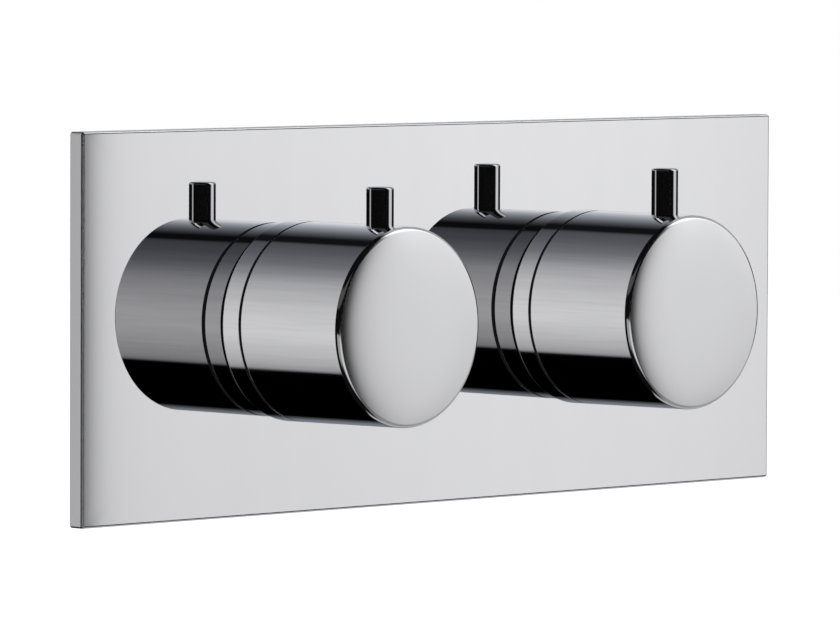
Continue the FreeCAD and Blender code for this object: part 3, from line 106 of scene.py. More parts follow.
def grained_group():
    """Shared effect: the streaks, flow or mottling that rolling, brushing or moulding leaves on a surface.

    The tone and the height are half of each of two noises on stretched object coordinates, fine and broad.
    """
    group, source, result, bump = effect_group(
        "worked_grain", Place="Vector", Stretch="Vector", Depth="Float", Broad="Float")
    stretched = group.nodes.new("ShaderNodeVectorMath")
    stretched.operation = "MULTIPLY"
    fine = group.nodes.new("ShaderNodeTexNoise")
    fine.inputs["Scale"].default_value = 1
    fine.inputs["Detail"].default_value = 3
    broad = group.nodes.new("ShaderNodeTexNoise")
    broad.inputs["Detail"].default_value = 2
    mixed = calc(group, "MULTIPLY", calc(group, "ADD", fine.outputs[0], broad.outputs[0]), 0.5)
    join = group.links.new
    join(source.outputs["Place"], stretched.inputs[0])
    join(source.outputs["Stretch"], stretched.inputs[1])
    join(stretched.outputs[0], fine.inputs["Vector"])
    join(stretched.outputs[0], broad.inputs["Vector"])
    join(source.outputs["Broad"], broad.inputs["Scale"])
    join(mixed, bump.inputs["Height"])
    join(mixed, result.inputs["Tone"])
    return group


WORKED = grained_group()


def worked(stretch, depth, broad):
    """Grain of 1 / stretch metres along each axis, this deep, and this share as fine in its broad noise."""
    return WORKED, {"Stretch": stretch, "Depth": depth, "Broad": broad}


def finish(name, grain, dark, light, metallic, rough, smooth):
    """A finish on a grain, as effect and settings: dark and rough when low, light and smooth when high."""
    material = bpy.data.materials.new(name)
    material.use_nodes = True
    tree = material.node_tree
    shader = tree.nodes["Principled BSDF"]
    shader.inputs["Metallic"].default_value = metallic
    place = tree.nodes.new("ShaderNodeTexCoord")
    pattern = tree.nodes.new("ShaderNodeGroup")
    pattern.node_tree, settings = grain
    for socket, value in settings.items():
        pattern.inputs[socket].default_value = value
    colour = tree.nodes.new("ShaderNodeMix")
    colour.data_type = "RGBA"
    colour.inputs["A"].default_value = (*dark, 1)
    colour.inputs["B"].default_value = (*light, 1)
    gloss = tree.nodes.new("ShaderNodeMapRange")
    gloss.inputs["From Min"].default_value = 0.3
    gloss.inputs["From Max"].default_value = 0.7
    gloss.inputs["To Min"].default_value = rough
    gloss.inputs["To Max"].default_value = smooth
    tree.links.new(place.outputs["Object"], pattern.inputs["Place"])
    tree.links.new(pattern.outputs["Tone"], colour.inputs["Factor"])
    tree.links.new(pattern.outputs["Tone"], gloss.inputs["Value"])
    tree.links.new(colour.outputs["Result"], shader.inputs["Base Color"])
    tree.links.new(gloss.outputs[0], shader.inputs["Roughness"])
    tree.links.new(pattern.outputs["Normal"], shader.inputs["Normal"])
    return material


def coat(material, *names):
    """Puts a finish on nodes whose shape is right as it is."""
    for name in names:
        skin = nodes[name].data
        skin.materials.clear()
        skin.materials.append(material)


zinc_sheet = finish("zinc_sheet", worked((260, 900, 900), 0.000006, 0.3),
                    (0.44, 0.46, 0.50), (0.66, 0.67, 0.66), metallic=1, rough=0.46, smooth=0.30)
coat(zinc_sheet, "mounting_plate")
zinc_screw = finish("zinc_screw", worked((1400, 400, 1400), 0.000003, 0.2),
                    (0.50, 0.51, 0.50), (0.70, 0.70, 0.64), metallic=1, rough=0.36, smooth=0.22)
coat(zinc_screw, "body_screws")


# ---- valve body
# One sand casting in brass: three waterways side by side, four port bosses, two spigots and four posts.
# The port faces, threads, spigots and the pads at the back are turned or milled bright, the rest is cast.

PORTS = ((0.01984, 0.022), (0.01339, 0.022), (0.058, 0.018), (0.098, 0.018))
PORT_FACE, PORT_THREAD_END = 0.047, 0.0345
THREAD_PITCH, THREAD_DEPTH = 0.001814, 0.0006
PORT_BORE = 0.0098
SPIGOT_FOOT, BACK_PAD = 0.0004, 0.0360


def sand_skin_group():
    """Shared effect: the skin that a sand mould leaves, lumps in the grain's size over broad stains.

    Height is the distance to the nearest sand grain plus a noise ten times as broad.
    """
    group, source, result, bump = effect_group("sand_skin", Place="Vector", Grain="Float", Depth="Float")
    lumps = group.nodes.new("ShaderNodeTexVoronoi")
    lumps.feature = "SMOOTH_F1"
    stains = group.nodes.new("ShaderNodeTexNoise")
    stains.inputs["Detail"].default_value = 5
    height = calc(group, "ADD", lumps.outputs["Distance"], stains.outputs[0])
    tone = group.nodes.new("ShaderNodeMapRange")
    tone.inputs["From Min"].default_value = 0.55
    tone.inputs["From Max"].default_value = 1.25
    join = group.links.new
    join(source.outputs["Place"], lumps.inputs["Vector"])
    join(source.outputs["Place"], stains.inputs["Vector"])
    join(source.outputs["Grain"], lumps.inputs["Scale"])
    join(calc(group, "MULTIPLY", source.outputs["Grain"], 0.1), stains.inputs["Scale"])
    join(height, tone.inputs["Value"])
    join(height, bump.inputs["Height"])
    join(tone.outputs[0], result.inputs["Tone"])
    return group


def masked(material, mask, colour, rough):
    """Where the mask is 1, the finish turns into another colour and gloss."""
    tree = material.node_tree
    shader = tree.nodes["Principled BSDF"]
    for socket, kind, inside in (("Base Color", "RGBA", (*colour, 1)), ("Roughness", "FLOAT", rough)):
        before = shader.inputs[socket].links[0].from_socket
        blend = tree.nodes.new("ShaderNodeMix")
        blend.data_type = kind
        factor, outside, within = [slot for slot in blend.inputs if slot.enabled]
        tree.links.new(mask, factor)
        tree.links.new(before, outside)
        within.default_value = inside
        tree.links.new([slot for slot in blend.outputs if slot.enabled][0], shader.inputs[socket])


def step(tree, value, low, high):
    """A smooth step of a value on a surface, from 0 at low to 1 at high, which may run downwards."""
    node = tree.nodes.new("ShaderNodeMapRange")
    node.interpolation_type = "SMOOTHSTEP"
    node.inputs["From Min"].default_value = low
    node.inputs["From Max"].default_value = high
    tree.links.new(value, node.inputs["Value"])
    return node.outputs[0]


def near_line(tree, place, point, radius):
    """1 within a radius of the upright line through a point (x, y), 0 outside."""
    flat = tree.nodes.new("ShaderNodeVectorMath")
    flat.operation = "MULTIPLY_ADD"
    flat.inputs[1].default_value = (1, 1, 0)
    flat.inputs[2].default_value = (-point[0], -point[1], 0)
    away = tree.nodes.new("ShaderNodeVectorMath")
    away.operation = "LENGTH"
    tree.links.new(place, flat.inputs[0])
    tree.links.new(flat.outputs[0], away.inputs[0])
    return step(tree, away.outputs["Value"], radius + 0.0001, radius - 0.0001)


SANDED = sand_skin_group()
cast_brass = finish("cast_brass", (SANDED, {"Grain": 900, "Depth": 0.00011}),
                    (0.30, 0.19, 0.065), (0.60, 0.43, 0.17), metallic=1, rough=0.62, smooth=0.40)
tree = cast_brass.node_tree
place = tree.nodes["Texture Coordinate"].outputs["Object"]
along = tree.nodes.new("ShaderNodeSeparateXYZ")
tree.links.new(place, along.inputs[0])
port_bore = calc(tree, "MAXIMUM", *[near_line(tree, place, port, PORT_BORE) for port in PORTS])
height = calc(tree, "ABSOLUTE", along.outputs["Z"], 0)
port_bore = calc(tree, "MULTIPLY", port_bore, step(tree, height, PORT_THREAD_END - 0.0002, PORT_THREAD_END))
milled = calc(tree, "MAXIMUM", port_bore, step(tree, height, PORT_FACE - 0.0003, PORT_FACE - 0.0001),
              step(tree, along.outputs["Y"], BACK_PAD - 0.0002, BACK_PAD),
              step(tree, along.outputs["Y"], SPIGOT_FOOT, SPIGOT_FOOT - 0.0004))
masked(cast_brass, milled, (0.70, 0.53, 0.23), 0.24)

# the threads in the ports: rings one pitch apart, only inside the bores, and no sand grain on milled faces
turns = calc(tree, "MULTIPLY", along.outputs["Z"], 2 * math.pi / THREAD_PITCH)
wave = calc(tree, "MULTIPLY", calc(tree, "SINE", turns, 0), port_bore)
thread = tree.nodes.new("ShaderNodeBump")
thread.inputs["Distance"].default_value = THREAD_DEPTH
tree.links.new(wave, thread.inputs["Height"])
rough_skin = tree.nodes["Principled BSDF"].inputs["Normal"].links[0].from_socket
lean = tree.nodes.new("ShaderNodeMix")
lean.data_type = "VECTOR"
tree.links.new(milled, lean.inputs["Factor"])
tree.links.new(rough_skin, lean.inputs[4])
tree.links.new(thread.outputs[0], lean.inputs[5])
tree.links.new(lean.outputs[1], tree.nodes["Principled BSDF"].inputs["Normal"])
coat(cast_brass, "valve_body")


# ---- channel plugs
# Short screws turned from brass bar, with a hexagon socket, that close the drilled ends of the waterways.
# They are screwed in with sealant and stand level with the casting.


def lathe_lines_group():
    """Shared effect: the fine rings that a lathe leaves round an axis along Y.

    The tone and the height are a noise of (distance from the axis, distance along it) over the pitch, which
    gives rings on a side and circles on an end face.
    """
    group, source, result, bump = effect_group(
        "lathe_lines", Place="Vector", Centre="Vector", Pitch="Float", Depth="Float")
    offset = group.nodes.new("ShaderNodeVectorMath")
    offset.operation = "SUBTRACT"
    flat = group.nodes.new("ShaderNodeVectorMath")
    flat.operation = "MULTIPLY"
    flat.inputs[1].default_value = (1, 0, 1)
    away = group.nodes.new("ShaderNodeVectorMath")
    away.operation = "LENGTH"
    split = group.nodes.new("ShaderNodeSeparateXYZ")
    pair = group.nodes.new("ShaderNodeCombineXYZ")
    rings = group.nodes.new("ShaderNodeTexNoise")
    rings.inputs["Scale"].default_value = 1
    rings.inputs["Detail"].default_value = 3
    join = group.links.new
    join(source.outputs["Place"], offset.inputs[0])
    join(source.outputs["Centre"], offset.inputs[1])
    join(offset.outputs[0], flat.inputs[0])
    join(flat.outputs[0], away.inputs[0])
    join(source.outputs["Place"], split.inputs[0])
    join(calc(group, "DIVIDE", away.outputs["Value"], source.outputs["Pitch"]), pair.inputs[0])
    join(calc(group, "DIVIDE", split.outputs["Y"], source.outputs["Pitch"]), pair.inputs[1])
    join(pair.outputs[0], rings.inputs["Vector"])
    join(rings.outputs[0], bump.inputs["Height"])
    join(rings.outputs[0], result.inputs["Tone"])
    return group


LATHED = lathe_lines_group()
AXIS_HEIGHT = 0.0030
LEFT_AXIS, RIGHT_AXIS = -0.0940, 0.0096


def lathed(across, pitch, depth):
    """Rings of this pitch and depth on pieces turned about an axis that stands this far across the plate."""
    return LATHED, {"Centre": (across, 0, AXIS_HEIGHT), "Pitch": pitch, "Depth": depth}


plug_brass = finish("plug_brass", lathed(0, 0.00022, 0.000004),
                    (0.58, 0.42, 0.17), (0.72, 0.55, 0.25), metallic=1, rough=0.34, smooth=0.22)
coat(plug_brass, "channel_plugs")


# ---- inlet fittings
# A moulded strainer stops grit, and behind it a moulded cage holds a check valve: a poppet that a small
# stainless spring presses on its seat. They are pushed into the inlets from below before the pipes.

strainer_plastic = finish("strainer_plastic", worked((1600, 1600, 1600), 0.000006, 0.1),
                          (0.028, 0.030, 0.033), (0.050, 0.052, 0.056), metallic=0, rough=0.55, smooth=0.38)
coat(strainer_plastic, "inlet_strainers")
cage_plastic = finish("cage_plastic", worked((1200, 1200, 1200), 0.000004, 0.1),
                      (0.70, 0.70, 0.66), (0.79, 0.79, 0.76), metallic=0, rough=0.50, smooth=0.36)
cage_plastic.node_tree.nodes["Principled BSDF"].inputs["Subsurface Weight"].default_value = 0.15
cage_plastic.node_tree.nodes["Principled BSDF"].inputs["Subsurface Scale"].default_value = 0.001
coat(cage_plastic, "check_valve_cages")
poppet_plastic = finish("poppet_plastic", worked((1400, 1400, 500), 0.000003, 0.2),
                        (0.27, 0.29, 0.32), (0.36, 0.38, 0.41), metallic=0, rough=0.48, smooth=0.36)
coat(poppet_plastic, "hot_check_poppet", "cold_check_poppet")
spring_wire = finish("spring_wire", worked((2600, 2600, 2600), 0.000002, 0.1),
                     (0.44, 0.44, 0.45), (0.62, 0.62, 0.63), metallic=1, rough=0.34, smooth=0.18)
coat(spring_wire, "hot_check_spring", "cold_check_spring")


def sprung(name):
    """A fixed copy of a spring, with a mesh of its own, in place of the hidden original."""
    coil = bpy.data.objects.new(name + "_wound", nodes[name].data.copy())
    bpy.context.scene.collection.objects.link(coil)
    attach(coil, "fixed")
    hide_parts(name)
    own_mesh(coil)


for inlet, port in (("hot", PORTS[2]), ("cold", PORTS[3])):
    sprung(inlet + "_check_spring")


# ---- cartridge bases and seals
# Each cartridge stands on a moulded glass-filled base, pressed on the body's seat through O-rings.
# All O-rings are moulded black rubber, matt, with a faint bloom.

base_plastic = finish("base_plastic", worked((2200, 700, 2200), 0.000008, 0.15),
                      (0.024, 0.024, 0.026), (0.058, 0.058, 0.060), metallic=0, rough=0.60, smooth=0.42)
coat(base_plastic, "left_cartridge_base", "right_cartridge_base")
seal_rubber = finish("seal_rubber", worked((1500, 1500, 1500), 0.000005, 0.08),
                     (0.014, 0.014, 0.015), (0.034, 0.034, 0.036), metallic=0, rough=0.82, smooth=0.60)
seal_rubber.node_tree.nodes["Principled BSDF"].inputs["Sheen Weight"].default_value = 0.15
seal_rubber.node_tree.nodes["Principled BSDF"].inputs["Sheen Roughness"].default_value = 0.4
coat(seal_rubber, "cartridge_base_seals", "stem_seals", "left_spindle_seal", "right_spindle_seal",
     "mixing_sleeve_seals")


# ---- ceramic discs
# Alumina discs, pressed and fired, then lapped so flat that two of them seal with nothing between.
# The fixed ones stand in the bases, and the turning ones are keyed to the drums and the right spindle.

lapped_ceramic = finish("lapped_ceramic", (SANDED, {"Grain": 3200, "Depth": 0.000002}),
                        (0.74, 0.72, 0.66), (0.86, 0.85, 0.81), metallic=0, rough=0.26, smooth=0.10)
coat(lapped_ceramic, "left_fixed_disc", "left_flow_disc", "right_fixed_disc", "right_outer_disc",
     "right_inner_disc")


# ---- thermostat
# Inside the left cartridge a slotted brass sleeve holds a moulded shuttle that shares hot and cold between
# its slots. A wax capsule in a copper cup pushes it by a steel piston, and a spring brings it back. The nut
# that sets the temperature moves the piston's stop, a plunger on a stiff spring that gives way if it jams.

sleeve_brass = finish("sleeve_brass", lathed(LEFT_AXIS, 0.00018, 0.000003),
                      (0.60, 0.44, 0.19), (0.74, 0.57, 0.27), metallic=1, rough=0.30, smooth=0.18)
coat(sleeve_brass, "mixing_sleeve", "setting_nut", "overload_plunger")
coat(poppet_plastic, "mixing_shuttle")
capsule_copper = finish("capsule_copper", lathed(LEFT_AXIS, 0.0003, 0.000003),
                        (0.50, 0.22, 0.12), (0.74, 0.38, 0.24), metallic=1, rough=0.40, smooth=0.24)
coat(capsule_copper, "thermostat_element")
piston_steel = finish("piston_steel", lathed(LEFT_AXIS, 0.0001, 0.000001),
                      (0.54, 0.54, 0.55), (0.64, 0.64, 0.65), metallic=1, rough=0.22, smooth=0.12)
coat(piston_steel, "thermostat_piston")
coat(spring_wire, "return_spring", "overload_spring")

# the return spring gets a fixed copy of its own as well
sprung("return_spring")


# ---- drums, spindles and cartridge shells
# All turned from brass bar: the drums that carry the discs on their hollow stems, the spindles inside them,
# and the shells over both. Splines are rolled on the ends that stand out of the shells.

right_brass = finish("right_brass", lathed(RIGHT_AXIS, 0.00018, 0.000003),
                     (0.58, 0.42, 0.17), (0.73, 0.56, 0.26), metallic=1, rough=0.32, smooth=0.20)
left_brass = finish("left_brass", lathed(LEFT_AXIS, 0.00018, 0.000003),
                    (0.58, 0.42, 0.17), (0.73, 0.56, 0.26), metallic=1, rough=0.32, smooth=0.20)
coat(left_brass, "left_cartridge_housing", "left_flow_drum", "temperature_spindle")
coat(right_brass, "right_cartridge_housing", "right_flow_drum", "right_spindle")


# ---- sleeve nuts and guide rings
# Long nuts turned from brass and nickel-plated screw on the body's spigots and clamp the cartridges.
# A white moulded ring snaps into a groove on each, and the rear handle turns on it.

nickel_sleeve = finish("nickel_sleeve", worked((160, 3600, 160), 0.000004, 0.15),
                       (0.52, 0.49, 0.43), (0.66, 0.63, 0.57), metallic=1, rough=0.32, smooth=0.18)
coat(nickel_sleeve, "barrel_nuts")
ring_plastic = finish("ring_plastic", worked((500, 2200, 500), 0.000003, 0.1),
                      (0.74, 0.74, 0.71), (0.82, 0.82, 0.80), metallic=0, rough=0.46, smooth=0.34)
coat(ring_plastic, "guide_rings")


# ---- foam gasket and grommets
# A strip of closed-cell foam glued inside the plate's rim seals it to the tiles.
# A rubber grommet in each plate hole grips the sleeve nut and holds the plate on.


def foam_cells_group():
    """Shared effect: burst cells of a foam, round pits with thin walls between.

    The tone and the height fall from the walls of a Voronoi pattern to the pits, so that the walls stay thin.
    """
    group, source, result, bump = effect_group("foam_cells", Place="Vector", Cells="Float", Depth="Float")
    cells = group.nodes.new("ShaderNodeTexVoronoi")
    cells.feature = "DISTANCE_TO_EDGE"
    wall = step(group, cells.outputs["Distance"], 0.30, 0.02)
    join = group.links.new
    join(source.outputs["Place"], cells.inputs["Vector"])
    join(source.outputs["Cells"], cells.inputs["Scale"])
    join(wall, bump.inputs["Height"])
    join(wall, result.inputs["Tone"])
    return group


gasket_foam = finish("gasket_foam", (foam_cells_group(), {"Cells": 1300, "Depth": 0.00025}),
                     (0.035, 0.035, 0.038), (0.13, 0.13, 0.135), metallic=0, rough=0.95, smooth=0.85)
coat(gasket_foam, "wall_gasket")
coat(seal_rubber, "plate_grommets")


# ---- wall plate
# One sheet of brass pressed into a shallow tray, its edge folded to the wall, with a collar at each hole.
# It is brushed upright and chrome-plated. Its polished edge rolls off a little before it turns to the wall.

plate_low, plate_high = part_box("wall_plate")
PLATE_HALF = np.array([plate_high.x - plate_low.x, plate_high.z - plate_low.z]) / 2
PLATE_FRONT = -plate_low.y
PLATE_BACK = PLATE_FRONT - 0.0016
PLATE_RIM, PLATE_CORNER = 0.0020, 0.0008
LEAST_CORNER = 0.00015
ROLL_START, ROLL_REACH, ROLL_DROP = 0.0004, 0.0076, 0.00030
FLAT_FROM = 0.0080
PLATE_HOLE, HOLE_RING = 0.0202, 0.0240
COLLAR, COLLAR_END = 0.0225, 0.0004
SKIN_STEPS = 9
EDGE_LEAN, EDGE_FADE = 0.112, 0.0050
HEIGHT_LEAN = 0.014
WIDTH_LEAN = 0.036
STACKS = {"left": np.array([LEFT_AXIS, AXIS_HEIGHT]), "right": np.array([RIGHT_AXIS, AXIS_HEIGHT])}
PLATE_SPLIT = (STACKS["left"][0] + STACKS["right"][0]) / 2


def unit(vector):
    return vector / np.linalg.norm(vector)


def rounded(corners, radii, steps=6):
    """A flat line through corners, each inner corner turned by an arc of its own radius.

    The direction swings evenly from the run before to the run after, a point lies on the arc at
    start + radius * (quarter-turned start direction - quarter-turned direction), and the normal is the
    direction turned a quarter to the right.
    """
    corners = np.array(corners, float)
    points, directions = [corners[:1]], [unit(corners[1] - corners[0])[None]]
    for before, corner, after, radius in zip(corners, corners[1:], corners[2:], radii):
        arrive, leave = unit(corner - before), unit(after - corner)
        turn = math.acos(np.clip(arrive @ leave, -1, 1))
        side = math.copysign(1, arrive[0] * leave[1] - arrive[1] * leave[0])
        share = np.linspace(0, 1, steps + 1)[:, None]
        swing = (np.sin((1 - share) * turn) * arrive + np.sin(share * turn) * leave) / math.sin(turn)
        quarter = np.stack([-swing[:, 1], swing[:, 0]], 1)
        start = corner - arrive * radius * math.tan(turn / 2)
        points.append(start + side * radius * (quarter[0] - quarter))
        directions.append(swing)
    points.append(corners[-1:])
    directions.append(unit(corners[-1] - corners[-2])[None])
    points, directions = np.vstack(points), np.vstack(directions)
    return points, np.stack([directions[:, 1], -directions[:, 0]], 1)


def skinned(name, grids, material):
    """Joins grids of points, each with its own normals, into one closed mesh.

    A grid is rows of points round a loop, with a normal at each point and how hollow each row is, from 0 on
    the outer skin to 1 inside grooves and bores. Points in one cell of a micrometre become one, so seams and
    poles close, while every face keeps the normals of its own grid. The cells are shifted off round sizes.
    """
    points = np.concatenate([grid.reshape(-1, 3) for grid, _, _ in grids])
    normals = np.concatenate([lean.reshape(-1, 3) for _, lean, _ in grids])
    depths = np.concatenate([np.broadcast_to(deep[:, None], grid.shape[:2]).ravel()
                             for grid, _, deep in grids])
    quads, start = [], 0
    for grid, _, _ in grids:
        rows, columns = grid.shape[:2]
        index = start + np.arange(rows * columns).reshape(rows, columns)
        index = np.hstack([index, index[:, :1]])
        square = [index[:-1, :-1], index[:-1, 1:], index[1:, 1:], index[1:, :-1]]
        quads.append(np.stack(square, -1).reshape(-1, 4))
        start += rows * columns
    quads = np.concatenate(quads)
    cells = np.round(points * 1e6 + 0.137).astype(np.int64)
    first, same = np.unique(cells, axis=0, return_index=True, return_inverse=True)[1:]
    same = same.reshape(-1)
    welded = same[quads]
    repeat = welded == np.roll(welded, -1, axis=1)
    whole = repeat.sum(1) == 0
    faces, corners = [welded[whole]], [quads[whole]]
    for k in range(4):
        thin = repeat[:, k] & (repeat.sum(1) == 1)
        keep = [c for c in range(4) if c != k]
        faces.append(welded[thin][:, keep])
        corners.append(quads[thin][:, keep])
    loops = np.concatenate([f.reshape(-1) for f in faces])
    loop_normals = normals[np.concatenate([c.reshape(-1) for c in corners])]
    sizes = np.concatenate([np.full(len(f), f.shape[1]) for f in faces])
    mesh = bpy.data.meshes.new(name)
    mesh.vertices.add(len(first))
    mesh.vertices.foreach_set("co", points[first].astype(np.float32).ravel())
    mesh.loops.add(len(loops))
    mesh.loops.foreach_set("vertex_index", loops.astype(np.int32))
    mesh.polygons.add(len(sizes))
    mesh.polygons.foreach_set("loop_start", (np.cumsum(sizes) - sizes).astype(np.int32))
    mesh.update(calc_edges=True)
    mesh.polygons.foreach_set("use_smooth", np.ones(len(sizes), bool))
    length = np.linalg.norm(loop_normals, axis=1, keepdims=True)
    mesh.normals_split_custom_set((loop_normals / np.maximum(length, 1e-9)).tolist())
    hollow = mesh.attributes.new("hollow", "FLOAT", "POINT")
    hollow.data.foreach_set("value", depths[first].astype(np.float32))
    mesh.materials.append(material)
    piece = bpy.data.objects.new(name, mesh)
    bpy.context.scene.collection.objects.link(piece)
    return piece


def crowned(grid, lean):
    """Leans the normals of the plate's face, because the pressed plate isn't quite flat.

    The normal leans to the left by EDGE_LEAN * exp(-distance / EDGE_FADE) near the left edge, and by
    WIDTH_LEAN * share^2 on the right half, and up or down by HEIGHT_LEAN in proportion to the height.
    """
    front = (lean[..., 1] < -0.9 * np.linalg.norm(lean, axis=-1)) & (grid[..., 1] < 0.0005 - PLATE_FRONT)
    across, up = grid[..., 0], grid[..., 2]
    sideways = -EDGE_LEAN * np.exp(-(across + PLATE_HALF[0]) / EDGE_FADE)
    sideways = sideways - WIDTH_LEAN * np.maximum(across / PLATE_HALF[0], 0) ** 2
    upwards = HEIGHT_LEAN * up / PLATE_HALF[1]
    pressed = np.stack([sideways, np.full(across.shape, -1.0), upwards], -1)
    return grid, np.where(front[..., None], pressed, lean), np.zeros(len(grid))


def plate_loop(inset):
    """The plate's outline at an inset, anticlockwise from the top of the split between its two holes."""
    half = PLATE_HALF - inset
    turn = max(PLATE_CORNER - inset, LEAST_CORNER)
    split = PLATE_SPLIT
    runs = [
        [(split, half[1]), (-half[0] + turn, half[1])],
        [(-half[0], half[1] - turn), (-half[0], turn - half[1])],
        [(turn - half[0], -half[1]), (split, -half[1])],
        [(split, -half[1]), (half[0] - turn, -half[1])],
        [(half[0], turn - half[1]), (half[0], half[1] - turn)],
        [(half[0] - turn, half[1]), (split, half[1])],
    ]
    share = np.linspace(0, 1, 17)[:, None]
    angles = {0: (90, 180), 1: (180, 270), 3: (270, 360), 4: (0, 90)}
    centres = {0: (-1, 1), 1: (-1, -1), 3: (1, -1), 4: (1, 1)}
    points, normals = [], []
    for k, (start, end) in enumerate(runs):
        straight = np.array(start) * (1 - share) + np.array(end) * share
        way = unit(straight[-1] - straight[0])
        points.append(straight[:-1] if k in (2, 5) else straight)
        normals.append(np.repeat([[way[1], -way[0]]], len(points[-1]), 0))
        if k in angles:
            arc = np.radians(np.linspace(*angles[k], 7))[1:-1, None]
            spoke = np.hstack([np.cos(arc), np.sin(arc)])
            points.append(np.array(centres[k]) * (half - turn) + turn * spoke)
            normals.append(spoke)
    return np.vstack(points), np.vstack(normals)


satin_chrome = finish("satin_chrome", worked((2600, 2600, 80), 0.0000001, 0.05),
                      (0.713, 0.713, 0.737), (0.729, 0.729, 0.753), metallic=1, rough=0.27, smooth=0.26)

roll = np.linspace(0, 1, 13)
roll_inset = ROLL_START + (ROLL_REACH - ROLL_START) * roll
roll_height = PLATE_FRONT - ROLL_DROP * (1 - roll) ** 3
roll_slope = 3 * ROLL_DROP / (ROLL_REACH - ROLL_START) * (1 - roll) ** 2
rim_line, rim_lean = rounded(
    [(-FLAT_FROM, PLATE_BACK), (-PLATE_RIM, PLATE_BACK), (-PLATE_RIM, 0), (0, 0),
     (0, roll_height[0] - roll_slope[0] * ROLL_START), (-ROLL_START, roll_height[0])],
    [0.0006, 0.0003, 0.0003, 0.0007])
rim_line = np.vstack([rim_line[:-1], np.stack([-roll_inset, roll_height], 1), [(-FLAT_FROM, PLATE_FRONT)]])
rim_lean = np.vstack([rim_lean[:-1], np.stack([roll_slope, np.ones(len(roll))], 1), [(0, 1)]])
loops = [plate_loop(-inset) for inset, _ in rim_line]
rim_grid = np.stack([np.stack([loop[:, 0], np.full(len(loop), -height), loop[:, 1]], 1)
                     for (loop, _), height in zip(loops, rim_line[:, 1])])
outward = np.stack([loops[0][1][:, 0], np.zeros(len(loops[0][1])), loops[0][1][:, 1]], 1)
rim_normals = rim_lean[:, 0, None, None] * outward + rim_lean[:, 1, None, None] * np.array([0, -1, 0])

hole_line, hole_lean = rounded(
    [(HOLE_RING, PLATE_FRONT), (PLATE_HOLE, PLATE_FRONT), (PLATE_HOLE, COLLAR_END), (COLLAR, COLLAR_END),
     (COLLAR, PLATE_BACK), (HOLE_RING, PLATE_BACK)],
    [0.0004, 0.0002, 0.0002, 0.0006])
flat_loop = plate_loop(FLAT_FROM)[0]
bottom = np.flatnonzero(flat_loop[:, 0] == PLATE_SPLIT)[1]
halves = {"left": flat_loop[:bottom + 1], "right": np.vstack([flat_loop[bottom:], flat_loop[:1]])}
plate_grids = [crowned(rim_grid, rim_normals)]
for stack, edge in halves.items():
    edge = np.vstack([edge, np.linspace(edge[-1], edge[0], 14)[1:-1]])
    spoke = edge - STACKS[stack]
    reach = np.linalg.norm(spoke, axis=1, keepdims=True)
    spoke = spoke / reach
    share = np.linspace(0, 1, SKIN_STEPS)[:, None, None]
    distance = reach * (1 - share) + HOLE_RING * share
    collar = np.repeat(hole_line[1:-1, 0, None, None], len(edge), 1)
    radii = np.concatenate([distance, collar, distance[::-1]])
    skins = [np.full(SKIN_STEPS, height) for height in (PLATE_FRONT, PLATE_BACK)]
    heights = np.concatenate([skins[0], hole_line[1:-1, 1], skins[1]])
    facings = [np.repeat([[0, way]], SKIN_STEPS, 0) for way in (1, -1)]
    leans = np.vstack([facings[0], hole_lean[1:-1], facings[1]])
    across = STACKS[stack] + radii * spoke
    depth = np.broadcast_to(-heights[:, None], across.shape[:2])
    grid = np.stack([across[..., 0], depth, across[..., 1]], -1)
    spokes = np.stack([spoke[:, 0], np.zeros(len(spoke)), spoke[:, 1]], 1)
    lean = leans[:, 0, None, None] * spokes + leans[:, 1, None, None] * np.array([0, -1, 0])
    plate_grids.append(crowned(grid, lean))
wall_plate = skinned("wall_plate_skin", plate_grids, satin_chrome)
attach(wall_plate, "fixed")
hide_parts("wall_plate")


# ---- rear handles
# Turned brass barrels, polished and chrome-plated, with one sharp groove near the front. Their chrome has a
# slightly darker colour than the knobs', which is painted shade.
# Each slides over its sleeve nut, and its inner web is keyed to the hollow stem.

HANDLE_RADIUS = 0.0244
HANDLE_REAR, HANDLE_FRONT = 0.0056, 0.04465
HANDLE_BORE = 0.0196
WEB_REAR, WEB_FRONT = 0.03615, 0.04055
WEB_HOLE, RECESS = 0.00905, 0.01925
HANDLE_GROOVE = (0.037575, 0.038725, 0.0234)
GROOVE_LIP = 0.00015
GRUB_PLACE, GRUB_RADIUS, GRUB_END = 0.03835, 0.00155, -0.0080
DRILL_FOOT = -0.040


def turned(line, lean, centre, axis, segments=224, deep=None):
    """A grid from a profile carried round an axis: centre + radius * spoke + height * axis."""
    axis = np.array(axis, float)
    side = unit(np.cross(axis, (1, 0, 0)))
    angle = np.linspace(0, 2 * math.pi, segments, endpoint=False)[:, None]
    spoke = np.cos(angle) * side + np.sin(angle) * np.cross(axis, side)
    grid = np.array(centre) + line[:, 0, None, None] * spoke + line[:, 1, None, None] * axis
    lean = lean[:, 0, None, None] * spoke + lean[:, 1, None, None] * axis
    return grid, lean, np.zeros(len(line)) if deep is None else deep


